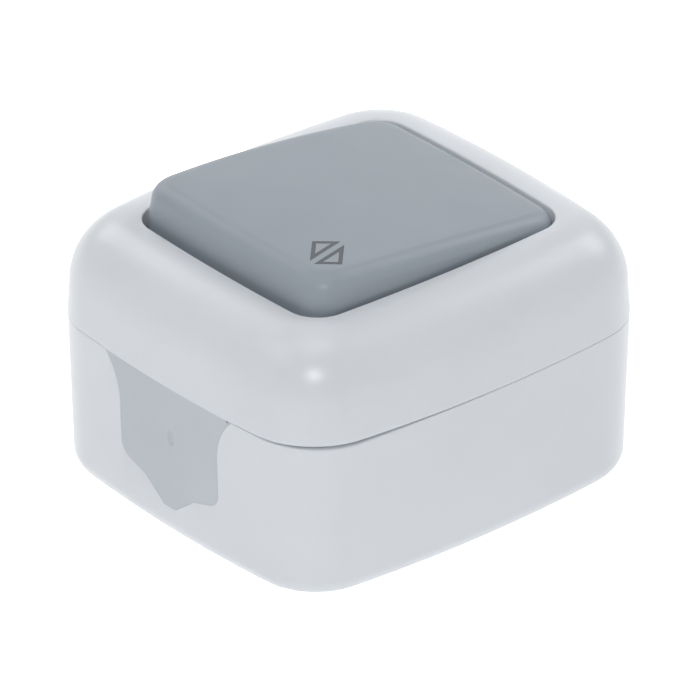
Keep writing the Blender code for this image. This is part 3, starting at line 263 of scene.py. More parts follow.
def round_edges(obj, width, chosen):
    """A small radius on the chosen sharp edges; chosen says yes or no to both ends of an edge."""
    build = bmesh.new()
    build.from_mesh(obj.data)
    edges = [
        edge
        for edge in build.edges
        if len(edge.link_faces) == 2
        and edge.calc_face_angle(0.0) > math.radians(40)
        and all(chosen(corner.co) for corner in edge.verts)
    ]
    bmesh.ops.bevel(
        build, geom=edges, offset=width, segments=3, profile=0.5, affect="EDGES", clamp_overlap=True
    )
    build.to_mesh(obj.data)
    build.free()
    return len(edges)


def finish(obj, look, angle=32.0):
    """Smooths the round faces, keeps the sharp edges, and gives the part its material."""
    obj.data.name = obj.name
    obj.data.materials.clear()
    obj.data.materials.append(look)
    obj.data.shade_smooth()
    obj.data.set_sharp_from_angle(angle=math.radians(angle))
    return obj


print("tools ready")

# %% [markdown]
# ## Materials
#
# Each material starts from its common name and the way that its surface was made. Colours are
# written as the sRGB codes that a colour chart would give, and one function turns them into
# the linear values that the renderer works with. All patterns have their real size in
# millimetres, because object coordinates in this frame are metres.

# %% Colour and node tools
NOISE_LOW = 0.3
NOISE_HIGH = 0.7
looks = {}


def linear(code):
    """The linear colour of an sRGB code such as #D4D8DC."""
    parts = [int(code[i : i + 2], 16) / 255 for i in (1, 3, 5)]
    values = [p / 12.92 if p <= 0.04045 else ((p + 0.055) / 1.055) ** 2.4 for p in parts]
    return (*values, 1.0)


def add(tree, kind, inputs=None, stops=(), **settings):
    """Adds one shader node, or sets one that is there.

    An input takes a value, an output, or a node, whose first output is used. A colour ramp
    takes its stops as places with sRGB codes.
    """
    made = tree.nodes.new("ShaderNode" + kind) if isinstance(kind, str) else kind
    for name, value in settings.items():
        setattr(made, name, value)
    for name, value in (inputs or {}).items():
        if isinstance(value, bpy.types.Node):
            value = value.outputs[0]
        if isinstance(value, bpy.types.NodeSocket):
            tree.links.new(value, made.inputs[name])
        else:
            made.inputs[name].default_value = value
    for i, (spot, code) in enumerate(stops):
        made.color_ramp.elements[i].position = spot
        made.color_ramp.elements[i].color = linear(code)
    return made


def new_look(name):
    """An empty material with its Principled shader, and coordinates in metres."""
    look = bpy.data.materials.new(name)
    look.use_nodes = True
    looks[name] = look
    tree = look.node_tree
    return look, tree, tree.nodes["Principled BSDF"], add(tree, "TexCoord").outputs["Object"]


def per_mm(size):
    """The scale of a pattern whose patches have the given size in millimetres."""
    return 1 / (size * MM)


# %% [markdown]
# ### Moulded plastic
#
# The housing is ABS and the rocker is the same family of plastic. Both come from a steel
# mould whose faces were spark eroded, which leaves a fine satin skin of pits about 0.15 mm
# apart. Pigment and flow leave a faint drift in tone over some 20 mm. The roughness drifts a
# little too, where the skin copied the mould less well, and the wall keeps wide shallow waves
# from its cooling.

# %% Moulded plastic
SKIN_SWING = 0.03
SINK_SPACING = 9.0
SINK_DEPTH = 0.01


def moulded_plastic(name, dark, light, roughness, grain=0.15, depth=0.004, drift=22.0):
    look, tree, shader, place = new_look(name)
    tone = add(tree, "TexNoise", {"Vector": place, "Scale": per_mm(drift), "Detail": 3.0})
    stops = [(NOISE_LOW, dark), (NOISE_HIGH, light)]
    skin = add(tree, "TexNoise", {"Vector": place, "Scale": per_mm(drift / 3), "Detail": 4.0})
    gloss = {"Value": skin, "From Min": NOISE_LOW, "From Max": NOISE_HIGH}
    gloss["To Min"], gloss["To Max"] = roughness - SKIN_SWING, roughness + SKIN_SWING
    waves = {"Vector": place, "Scale": per_mm(SINK_SPACING), "Detail": 1.0}
    sinks = {"Height": add(tree, "TexNoise", waves), "Distance": SINK_DEPTH * MM}
    pits = {"Vector": place, "Scale": per_mm(grain), "Detail": 3.0, "Roughness": 0.6}
    relief = {"Height": add(tree, "TexNoise", pits), "Distance": depth * MM}
    relief["Normal"] = add(tree, "Bump", sinks)
    surface = {
        "Base Color": add(tree, "ValToRGB", {"Fac": tone}, stops),
        "Roughness": add(tree, "MapRange", gloss),
        "IOR": 1.5,
        "Normal": add(tree, "Bump", relief),
    }
    add(tree, shader, surface)
    return look


housing_plastic = moulded_plastic("housing_plastic", "#D7DBE0", "#DBDFE4", 0.315)
rocker_plastic = moulded_plastic("rocker_plastic", "#9099A2", "#949DA6", 0.43)
frame_plastic = moulded_plastic("frame_plastic", "#E4E4E0", "#E9E9E6", 0.45, drift=12.0)
carrier_acetal = moulded_plastic("carrier_acetal", "#EBEBE6", "#F0F0EC", 0.33, 0.3, 0.002)
base_thermoset = moulded_plastic("base_thermoset", "#DDD9CF", "#E4E0D7", 0.36, 0.4, 0.006)

# %% [markdown]
# ### Soft parts
#
# The cable seals are a thermoplastic elastomer: matt, slightly darker than the housing, and
# with a wide soft sheen. The ring between box and cover is a black foam rubber cord whose
# cells are open along the cut.

# %% Soft parts
BATCH_DRIFT = 14.0


def soft_rubber(name, dark, light, roughness, cell, depth):
    look, tree, shader, place = new_look(name)
    tone = add(tree, "TexNoise", {"Vector": place, "Scale": per_mm(BATCH_DRIFT), "Detail": 4.0})
    stops = [(NOISE_LOW, dark), (NOISE_HIGH, light)]
    cells = {"Vector": place, "Scale": per_mm(cell), "Detail": 3.0, "Roughness": 0.6}
    relief = {"Height": add(tree, "TexNoise", cells), "Distance": depth * MM}
    surface = {
        "Base Color": add(tree, "ValToRGB", {"Fac": tone}, stops),
        "Roughness": roughness,
        "Specular IOR Level": 0.3,
        "Normal": add(tree, "Bump", relief),
    }
    add(tree, shader, surface)
    return look


seal_elastomer = soft_rubber("seal_elastomer", "#C1C8CD", "#C6CCD2", 0.7, 0.2, 0.006)
gasket_rubber = soft_rubber("gasket_rubber", "#26272A", "#303135", 0.85, 0.5, 0.06)

# %% [markdown]
# ### Metals
#
# The strips are cold rolled brass, so their grain runs along the strip. The rivets are a
# silver alloy that has been headed cold and tumbled bright. Screws, clamps and the spring are
# steel with a thin zinc plate, which is bluish and slightly cloudy.

# %% Metals
CLOUD_SIZE = 3.0
GRAIN_SWING = 0.06


def metal(name, dark, light, roughness, stretch, grain, depth):
    look, tree, shader, place = new_look(name)
    cloud = add(tree, "TexNoise", {"Vector": place, "Scale": per_mm(CLOUD_SIZE), "Detail": 4.0})
    stops = [(NOISE_LOW, dark), (NOISE_HIGH, light)]
    along = add(tree, "Mapping", {"Vector": place, "Scale": stretch})
    lines = {"Vector": along, "Scale": per_mm(grain), "Detail": 4.0, "Roughness": 0.6}
    lines = add(tree, "TexNoise", lines)
    gloss = {"Value": lines, "From Min": NOISE_LOW, "From Max": NOISE_HIGH}
    gloss["To Min"], gloss["To Max"] = roughness - GRAIN_SWING, roughness + GRAIN_SWING
    surface = {
        "Base Color": add(tree, "ValToRGB", {"Fac": cloud}, stops),
        "Metallic": 1.0,
        "Roughness": add(tree, "MapRange", gloss),
        "Normal": add(tree, "Bump", {"Height": lines, "Distance": depth * MM}),
    }
    add(tree, shader, surface)
    return look


contact_brass = metal("contact_brass", "#C9A35C", "#D8B36C", 0.3, (1.0, 0.08, 1.0), 0.12, 0.002)
contact_silver = metal("contact_silver", "#DAD9D4", "#EBEAE6", 0.18, (1.0, 1.0, 1.0), 0.4, 0.001)
plated_steel = metal("plated_steel", "#B7BCC2", "#CCD1D6", 0.27, (1.0, 1.0, 0.3), 0.3, 0.002)

# %% [markdown]
# ### Print
#
# The sign on the rocker is pad printed: a thin dark grey ink that lies a few hundredths of a
# millimetre proud and lets a little of the plastic's tone through where the pad pressed less.

# %% Print
INK_PATCH = 0.5
INK_RELIEF = 0.004
sign_ink, ink_tree, ink_shader, ink_place = new_look("sign_ink")
ink_cover = {"Vector": ink_place, "Scale": per_mm(INK_PATCH), "Detail": 4.0}
ink_cover = add(ink_tree, "TexNoise", ink_cover)
ink_stops = [(NOISE_LOW, "#464B51"), (NOISE_HIGH, "#545960")]
ink_surface = {
    "Base Color": add(ink_tree, "ValToRGB", {"Fac": ink_cover}, ink_stops),
    "Roughness": 0.5,
    "Normal": add(ink_tree, "Bump", {"Height": ink_cover, "Distance": INK_RELIEF * MM}),
}
add(ink_tree, ink_shader, ink_surface)

print("materials:", len(bpy.data.materials))

# %% [markdown]
# ## The box
#
# The box is one deep moulding. The outside leans in by 0.8 mm towards the wall, and a soft
# round runs along its foot. The rim carries a tongue that goes up into the cover. Both ends
# are cut open in the form of a shield for the seals, and the floor has two slotted holes and
# a round thin place that can be knocked out for a cable from behind.
#
# The seam is the line that gives such a housing away: two moulded edges, each with a tiny
# radius, meet with a hair of a gap. The gap is next to nothing along the sides, where the
# screws pull the cover down, and opens towards one corner. Over a seal there is none, because
# the soft lip fills it.

# %% The shield outline of a seal
SEAL_SHIFT = 0.4 * MM
SEAL_HALF_WIDTH = 11.75 * MM
SEAL_FLARE = 3.5 * MM
SEAL_FLARE_DROP = 8.0 * MM
SEAL_SIDE_DROP = 14.4 * MM
SEAL_SHOULDER_RADIUS = 2.9 * MM
SEAL_NECK_DROP = 18.3 * MM
SEAL_NECK_HALF_WIDTH = 5.8 * MM
SEAL_TIP_HEIGHT = 5.7 * MM
SEAL_TIP_RADIUS = 1.1 * MM
SEAL_FOOT = FLOOR + INNER_ROUND
SEAL_CENTER_HEIGHT = 18.4 * MM


def seal_outline(growth, top):
    """The shield, as (x, z), grown outwards by a clearance or a flange."""
    flare_radius = (SEAL_FLARE_DROP**2 + SEAL_FLARE**2) / (2 * SEAL_FLARE)
    flare_angle = math.degrees(math.asin(SEAL_FLARE_DROP / flare_radius))
    flare_center = (SEAL_HALF_WIDTH + flare_radius, SEAM_HEIGHT - SEAL_FLARE_DROP)
    shoulder_center = (SEAL_HALF_WIDTH - SEAL_SHOULDER_RADIUS, SEAM_HEIGHT - SEAL_SIDE_DROP)
    neck = (SEAL_NECK_HALF_WIDTH + growth, SEAM_HEIGHT - SEAL_NECK_DROP - growth / 2)
    tip_center = (SEAL_TIP_RADIUS, SEAL_TIP_HEIGHT + SEAL_TIP_RADIUS)
    right = [(SEAL_HALF_WIDTH + SEAL_FLARE + growth, top)]
    right += arc(flare_center, flare_radius - growth, 180 - flare_angle, 180, 2 * ROUND_STEPS)
    right += arc(shoulder_center, SEAL_SHOULDER_RADIUS + growth, 0, -75, 2 * ROUND_STEPS)
    right.append(neck)
    right += arc(tip_center, SEAL_TIP_RADIUS + growth, -30, -90, ROUND_STEPS)
    left = [(-x, z) for x, z in reversed(right)]
    return [(SEAL_SHIFT + x, z) for x, z in right + left]


def end_wall(x, z, side, depth):
    """A place on the end wall of the box, or the given depth behind its face."""
    inset = draft_at(z) + depth
    reach = math.sqrt((SIDE_RADIUS - inset) ** 2 - x * x) - (SIDE_RADIUS - HALF_LENGTH)
    return side * reach


# %% The seam
SEAM_EDGE = 0.16 * MM
SEAM_EDGE_WIDE = 0.34 * MM
SEAM_EDGE_LEAST = 0.01 * MM
SEAM_GAP = 0.04 * MM
SEAM_RISE = 0.2 * MM
SEAM_DROP = 0.34 * MM
SEAM_SUPPORT = 0.9 * MM
SEAM_STEPS = 5
OPEN_ALONG_SIDE = 9.5 * MM
OPEN_ALONG_END = 22.0 * MM
WIDE_CORNER = (30.6 * MM, -33.8 * MM)
LIP_HALF_WIDTH = SEAL_HALF_WIDTH + SEAL_FLARE
LIP_FADE = 0.5 * MM
LIP_CLEAR = 0.3 * MM
END_ZONE = 4 * MM


def openness(u, v):
    """One at the corner where the seam is widest, and next to nothing far from it."""
    from_side = (HALF_WIDTH - u) / OPEN_ALONG_SIDE
    from_end = (HALF_LENGTH + v) / OPEN_ALONG_END
    return math.exp(-(from_side**2) - from_end**2)


def off_lip(u, v):
    """One where the seam is plastic on plastic, and zero over the lip of a seal."""
    if abs(v) < HALF_LENGTH - END_ZONE:
        return 1.0
    return min(1.0, max(0.0, (abs(u - SEAL_SHIFT) - LIP_HALF_WIDTH) / LIP_FADE))


def seam_level(u, v, part):
    """Height of the box's rim (part -1) or the cover's (part 1) at a place on the outline."""
    wide = SEAM_RISE if part > 0 else SEAM_DROP
    return SEAM_HEIGHT + part * off_lip(u, v) * (SEAM_GAP / 2 + wide * openness(u, v))


def seam_ring(turn, part):
    """The rounded edge of the box or the cover: turn is 0 on the wall and 1 on the rim."""
    angle = math.radians(90 * turn)
    ring = []
    for (u, v, _), (in_u, in_v, _) in zip(housing_ring(0.0, 0.0), housing_ring(1 * MM, 0.0)):
        radius = (SEAM_EDGE + (SEAM_EDGE_WIDE - SEAM_EDGE) * openness(u, v)) * off_lip(u, v)
        radius = max(radius, SEAM_EDGE_LEAST)
        share = radius * (1 - math.cos(angle)) / MM
        height = seam_level(u, v, part) + part * radius * (1 - math.sin(angle))
        ring.append((u + (in_u - u) * share, v + (in_v - v) * share, height))
    return ring


def rim_ring(inset, part):
    """The flat rim behind the rounded edge."""
    return [(u, v, seam_level(u, v, part)) for u, v, _ in housing_ring(inset, 0.0)]


wide_gap = seam_level(*WIDE_CORNER, 1) - seam_level(*WIDE_CORNER, -1)
print("seam at the wide corner:", round(wide_gap / MM, 2), "mm")

# %% The box itself
COVER_SCREWS = ((18.8 * MM, 22.2 * MM), (-18.8 * MM, -22.2 * MM))
FRAME_SCREWS = ((22.7 * MM, 0.0), (-22.7 * MM, 0.0))
COVER_PILLAR_TOP = 29.6 * MM
FRAME_PILLAR_TOP = 28.7 * MM
PILLAR_RADIUS = 3.5 * MM
SCREW_HOLE_RADIUS = 1.75 * MM
SCREW_HOLE_DEPTH = 10 * MM
RIB_HALF_WIDTH = 0.8 * MM
RIB_TOP = 21.7 * MM
WALL_SLOT = (19.9 * MM, 23.1 * MM)
WALL_SLOT_RADIUS = 2.3 * MM
WALL_SLOT_TRAVEL = 3.5 * MM
SLOT_RIM_WIDTH = 2 * MM
SLOT_RIM_HEIGHT = 1 * MM
SHIELD_CUT = (27 * MM, 40 * MM)
KNOCKOUT_RADIUS = 9 * MM
KNOCKOUT_GROOVE = 0.9 * MM
KNOCKOUT_DEPTH = 1.1 * MM
MOUTH_ROUND = 0.1 * MM
NEAR = 0.02 * MM
PAST = 1 * MM


def obround(center, radius, travel):
    """Outline of a slot that runs along y."""
    x, y = center
    upper = arc((x, y + travel / 2), radius, 0, 180, SLOT_STEPS)
    lower = arc((x, y - travel / 2), radius, 180, 360, SLOT_STEPS)
    return upper + lower


def build_box():
    rings = []
    for i in range(ROUND_STEPS + 1):
        angle = math.radians(90 * i / ROUND_STEPS)
        height = FOOT_ROUND * (1 - math.cos(angle))
        inset = FOOT_ROUND * (1 - math.sin(angle))
        rings.append(housing_ring(inset + draft_at(height), height))
    for share in (0.35, 0.7):
        height = FOOT_ROUND + share * (SEAM_HEIGHT - FOOT_ROUND)
        rings.append(housing_ring(draft_at(height), height))
    rings.append(housing_ring(draft_at(SEAM_HEIGHT - SEAM_SUPPORT), SEAM_HEIGHT - SEAM_SUPPORT))
    rings += [seam_ring(i / SEAM_STEPS, -1) for i in range(SEAM_STEPS + 1)]
    rings.append(rim_ring(TONGUE_INSET, -1))
    rings.append(housing_ring(TONGUE_INSET, SEAM_HEIGHT + TONGUE_HEIGHT))
    rings.append(housing_ring(WALL, SEAM_HEIGHT + TONGUE_HEIGHT))
    for i in range(ROUND_STEPS):
        angle = math.radians(90 * i / (ROUND_STEPS - 1))
        height = FLOOR + INNER_ROUND * (1 - math.sin(angle))
        inset = WALL + INNER_ROUND * (1 - math.cos(angle))
        rings.append(housing_ring(inset + draft_at(height), height))
    box = loft("housing_box", rings)

    added = []
    holes = []
    pillars = [(place, COVER_PILLAR_TOP) for place in COVER_SCREWS]
    pillars += [(place, FRAME_PILLAR_TOP) for place in FRAME_SCREWS]
    for center, top in pillars:
        added.append(prism("pillar", circle(center, PILLAR_RADIUS), FLOOR / 2, top))
        hole = circle(center, SCREW_HOLE_RADIUS, HOLE_SIDES)
        holes.append(prism("pillar_hole", hole, top - SCREW_HOLE_DEPTH, top + PAST))
    for side in (1, -1):
        rib_x = (side * FRAME_SCREWS[0][0], side * (HALF_WIDTH - WALL / 2 - BOX_DRAFT))
        rib_y = (-RIB_HALF_WIDTH, RIB_HALF_WIDTH)
        added.append(block("rib", rib_x, rib_y, (FLOOR / 2, RIB_TOP)))
        center = (side * WALL_SLOT[0], -side * WALL_SLOT[1])
        rim = obround(center, WALL_SLOT_RADIUS + SLOT_RIM_WIDTH, WALL_SLOT_TRAVEL)
        added.append(prism("slot_rim", rim, FLOOR / 2, FLOOR + SLOT_RIM_HEIGHT))
        slot = obround(center, WALL_SLOT_RADIUS, WALL_SLOT_TRAVEL)
        holes.append(prism("wall_slot", slot, -PAST, FLOOR + SLOT_RIM_HEIGHT + PAST))
        shield = seal_outline(0.0, SEAM_HEIGHT + 2 * TONGUE_HEIGHT)
        holes.append(prism("shield", shield, *(side * reach for reach in SHIELD_CUT), "Y"))
    outer = circle((0, 0), KNOCKOUT_RADIUS, KNOCKOUT_SIDES)
    inner = circle((0, 0), KNOCKOUT_RADIUS - KNOCKOUT_GROOVE, KNOCKOUT_SIDES)
    groove = prism("groove", outer, -PAST, KNOCKOUT_DEPTH)
    core = prism("core", inner, -2 * PAST, 2 * KNOCKOUT_DEPTH)
    combine(box, added, "UNION")
    combine(box, holes + [combine(groove, [core], "DIFFERENCE")], "DIFFERENCE")

    def on_outer_wall(point):
        wall = end_wall(point.x, point.z, math.copysign(1, point.y), 0.0)
        return abs(point.y - wall) < NEAR and SEAL_FOOT < point.z < SEAM_HEIGHT - LIP_CLEAR

    rounded = round_edges(box, MOUTH_ROUND, on_outer_wall)
    print("edges rounded round the seal openings:", rounded)
    return finish(box, housing_plastic)


housing_box = build_box()
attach(housing_box, "housing")
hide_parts("back_box")
print("housing_box faces:", len(housing_box.data.polygons))

# %% [markdown]
# ## The cable seals
#
# Each seal is a soft plate that lies flush in the wall of the box. A flange behind it grips
# the wall, and a blind nipple behind the flange is pierced and stretched over the cable. A
# small dimple on the outside shows where to pierce. The soft lip presses against the box, so
# no dark line shows between the two materials; only the tone changes. A nick at one top corner
# is where the mould filled last.

# %% The seals
SEAL_CLEARANCE = 0.04 * MM
SEAL_EDGE_ROUND = 0.12 * MM
SEAL_PLATE_BACK = 2.9 * MM
SEAL_STEP_DROP = 0.6 * MM
SEAL_FLANGE = 1.5 * MM
SEAL_FLANGE_DEPTHS = (2.6 * MM, 3.8 * MM)
SEAL_REACH = (18 * MM, 40 * MM)
# Radius, and depth behind the face, in millimetres.
NIPPLE = ((6.0, 3.2), (5.6, 5.2), (4.9, 8.2), (4.6, 8.8))
BORE = ((4.8, 1.2), (3.7, 7.6), (3.4, 9.2))
DIMPLE = ((0.8, -0.1), (0.62, 0.1), (0.4, 0.35), (0.2, 0.5))
DIMPLE_OFFSET = 0.8 * MM
DIMPLE_LENGTH = 1.2 * MM
NICK_RADIUS = 0.35 * MM
NICK_INSET = 0.9 * MM
NICK_REACH = (33 * MM, 38 * MM)


def wall_shell(name, outer, inner, low, high):
    """A piece of the box wall between two depths."""
    corners = [(outer, low), (outer, high), (inner, high), (inner, low)]
    return loft(name, [housing_ring(depth + draft_at(z), z) for depth, z in corners], endless=True)


def into_wall(name, face, side, sections, outline_at):
    """A closed form that goes straight into the wall from the seal's face."""
    rings = []
    for radius, depth in sections:
        level = face - side * depth * MM
        rings.append([(u, level, v) for u, v in outline_at(radius * MM)])
    return loft(name, rings)


def build_seal(name, side):
    tongue_top = SEAM_HEIGHT + TONGUE_HEIGHT
    section = [
        (0.0, SEAL_FOOT),
        (0.0, SEAM_HEIGHT),
        (TONGUE_INSET, SEAM_HEIGHT),
        (TONGUE_INSET, tongue_top),
        (WALL, tongue_top),
        (WALL, SEAM_HEIGHT - SEAL_STEP_DROP),
        (SEAL_PLATE_BACK, SEAM_HEIGHT - SEAL_STEP_DROP),
        (SEAL_PLATE_BACK, SEAL_FOOT),
    ]
    plate = loft(name, [housing_ring(depth + draft_at(z), z) for depth, z in section], endless=True)
    span = [side * reach for reach in SEAL_REACH]
    outline = seal_outline(-SEAL_CLEARANCE, tongue_top + WALL)
    combine(plate, [prism("shield", outline, *span, "Y")], "INTERSECT")

    def on_face(point):
        wall = end_wall(point.x, point.z, side, 0.0)
        return abs(point.y - wall) < NEAR and point.z < SEAM_HEIGHT - LIP_CLEAR

    round_edges(plate, SEAL_EDGE_ROUND, on_face)
    levels = (SEAL_FOOT - LIP_CLEAR, SEAM_HEIGHT - LIP_CLEAR)
    flange = wall_shell("flange", *SEAL_FLANGE_DEPTHS, *levels)
    grown = seal_outline(SEAL_FLANGE, tongue_top + WALL)
    combine(flange, [prism("grown_shield", grown, *span, "Y")], "INTERSECT")
    center = (SEAL_SHIFT, SEAL_CENTER_HEIGHT)
    aim = (SEAL_SHIFT + DIMPLE_OFFSET, SEAL_CENTER_HEIGHT)
    face = end_wall(*center, side, 0.0)
    nick_at = (SEAL_SHIFT + LIP_HALF_WIDTH - NICK_INSET, SEAM_HEIGHT)
    nick_span = [side * reach for reach in NICK_REACH]
    nick = prism("nick", circle(nick_at, NICK_RADIUS, NICK_SIDES), *nick_span, "Y")
    nipple = into_wall("nipple", face, side, NIPPLE, lambda radius: circle(center, radius))
    bore = into_wall("bore", face, side, BORE, lambda radius: circle(center, radius))
    dimple = into_wall(
        "dimple", face, side, DIMPLE, lambda radius: obround(aim, radius, DIMPLE_LENGTH)
    )
    combine(plate, [flange, nipple], "UNION")
    combine(plate, [bore, dimple, nick], "DIFFERENCE")
    return finish(plate, seal_elastomer)


for seal_name, seal_side in (("lower_cable_seal", -1), ("upper_cable_seal", 1)):
    seal = build_seal("entry_seal_" + seal_name.split("_")[0], seal_side)
    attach(seal, "housing")
    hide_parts(seal_name)
    print(seal.name, "faces:", len(seal.data.polygons))

# %% [markdown]
# ## The cover
#
# The cover is the face of the switch: a quarter of an ellipse in section, swept round the
# housing, so that it reads as a pebble. Inside the shoulder the skin turns down into the
# well, with a small radius that catches a line of light. The ledge at the bottom of the well
# hides the mechanism and holds the heads of the two cover screws.

# %% The cover
GROOVE_BACK = 0.9 * MM
GROOVE_FRONT = WALL + 0.3 * MM
SKIRT_WALL = 1 * MM
SKIRT_FOOT = SEAM_HEIGHT + 0.9 * MM
INNER_SPREAD = 4.5 * MM
# Growth from the well's outline, and height over the ledge: the fillet at its foot.
LEDGE_FILLET = ((0.0, 0.4 * MM), (-0.12 * MM, 0.12 * MM), (-0.4 * MM, 0.0))
BOSS_RADIUS = 3.7 * MM
BOSS_HEIGHTS = (29.9 * MM, 33.9 * MM)
HEAD_ROOM_RADIUS = 2.9 * MM
HEAD_ROOM_HEIGHTS = (32.7 * MM, 35.1 * MM)
SCREW_WAY_HEIGHTS = (29.6 * MM, 34.8 * MM)


def build_cover():
    rings = [seam_ring(1 - i / SEAM_STEPS, 1) for i in range(SEAM_STEPS + 1)]
    rings.append(housing_ring(0.0, SEAM_HEIGHT + SEAM_SUPPORT))
    for share in (0.5, 1.0):
        height = SEAM_HEIGHT + share * (SHOULDER_HEIGHT - SEAM_HEIGHT)
        rings.append(housing_ring(share * COVER_DRAFT, height))
    steps = 3 * ROUND_STEPS
    rise = COVER_HEIGHT - SHOULDER_HEIGHT
    corner_loss = CORNER_RADIUS - COVER_DRAFT - CREST_CORNER
    for i in range(1, steps + 1):
        angle = math.radians(90 * i / steps)
        inset = COVER_DRAFT + (CREST_INSET - COVER_DRAFT) * (1 - math.cos(angle))
        corner = CORNER_RADIUS - COVER_DRAFT - corner_loss * (1 - math.cos(angle))
        rings.append(housing_ring(inset, SHOULDER_HEIGHT + rise * math.sin(angle), corner))
    for i in range(ROUND_STEPS + 1):
        angle = math.radians(90 * i / ROUND_STEPS)
        growth = WELL_EDGE_ROUND * (1 - math.sin(angle))
        drop = WELL_EDGE_ROUND * (1 - math.cos(angle))
        rings.append(well_ring(growth, COVER_HEIGHT - drop))
    rings += [well_ring(growth, LEDGE_HEIGHT + over) for growth, over in LEDGE_FILLET]
    rings.append(well_ring(-LEDGE_WIDTH, LEDGE_HEIGHT, LEDGE_CORNER))
    ledge_low = LEDGE_HEIGHT - LEDGE_THICKNESS
    rings.append(well_ring(-LEDGE_WIDTH, ledge_low, LEDGE_CORNER))
    rings.append(well_ring(WELL_WALL, ledge_low))
    rings.append(well_ring(WELL_WALL, COVER_HEIGHT - WELL_WALL - WELL_EDGE_ROUND))
    for i in range(ROUND_STEPS):
        angle = math.radians(90 * (1 - i / (ROUND_STEPS - 1)))
        inset = WALL + COVER_DRAFT + INNER_SPREAD * (1 - math.cos(angle))
        height = SHOULDER_HEIGHT + (rise - WELL_WALL) * math.sin(angle)
        rings.append(housing_ring(inset, height, CORNER_RADIUS - inset))
    rings.append(housing_ring(GROOVE_FRONT + SKIRT_WALL, GROOVE_TOP + SKIRT_WALL))
    rings.append(housing_ring(GROOVE_FRONT + SKIRT_WALL, SKIRT_FOOT))
    rings.append(housing_ring(GROOVE_FRONT, SKIRT_FOOT))
    rings.append(housing_ring(GROOVE_FRONT, GROOVE_TOP))
    rings.append(housing_ring(GROOVE_BACK, GROOVE_TOP))
    rings.append(rim_ring(GROOVE_BACK, 1))
    cover = loft("housing_cover", rings, endless=True)

    bosses = []
    holes = []
    for center in COVER_SCREWS:
        screw_way = circle(center, SCREW_HOLE_RADIUS, HOLE_SIDES)
        bosses.append(prism("boss", circle(center, BOSS_RADIUS), *BOSS_HEIGHTS))
        holes.append(prism("head_room", circle(center, HEAD_ROOM_RADIUS), *HEAD_ROOM_HEIGHTS))
        holes.append(prism("screw_way", screw_way, *SCREW_WAY_HEIGHTS))
    combine(cover, bosses, "UNION")
    combine(cover, holes, "DIFFERENCE")
    return finish(cover, housing_plastic)


housing_cover = build_cover()
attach(housing_cover, "housing")
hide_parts("front_cover")
print("housing_cover faces:", len(housing_cover.data.polygons))

# %% [markdown]
# ## The rocker
#
# The rocker is a shallow cap with a large soft edge and a slightly crowned top, so that it
# doesn't look sunken. It tips about an axis across its middle; at rest its lower end stands
# up. It is drawn flat and then turned about that axis.

# %% The rocker cap
ROCKER_LIP = 0.25 * MM
LIP_STEPS = 3
CROWN_SHARES = (0.96, 0.9, 0.8, 0.68, 0.54, 0.4, 0.26, 0.12, 0.03)
HOLLOW_CORNER = 4 * MM
POST_PLACES = [(x * MM, y * MM) for x in (-9.6, 9.6) for y in (-7.2, 7.2)]
POST_HALF_WIDTH = 1.2 * MM
POST_FOOT = 5.1 * MM
CLIP_HALF_WIDTH = 3 * MM
# Distance along y and height of the clip's hook, in millimetres; its root comes on top.
CLIP_ROOT = (9.6, 11.0)
CLIP_HOOK = ((9.6, 1.9), (11.0, 1.9), (11.8, 2.7), (11.0, 2.7))


def to_rest(obj):
    """Turns a part drawn about the rocker's axis into its rest position."""
    place = Matrix.Translation((0, 0, PIVOT_HEIGHT)) @ Matrix.Rotation(-TILT, 4, "X")
    obj.data.transform(place)
    return obj


def bow_at(v):
    """How far the middle of the rocker stands above its two ends."""
    return ROCKER_BOW * (1 - (v / ROCKER_HALF_LENGTH) ** 2)


def rocker_ring(side_inset, end_inset, height, corner, bowed=False):
    half_u, half_v = ROCKER_HALF_WIDTH - side_inset, ROCKER_HALF_LENGTH - end_inset
    outline = bowed_outline(half_u, half_v, corner, WELL_SIDE_RADIUS)
    return [(u, v, height + (bow_at(v) if bowed else 0.0)) for u, v in outline]


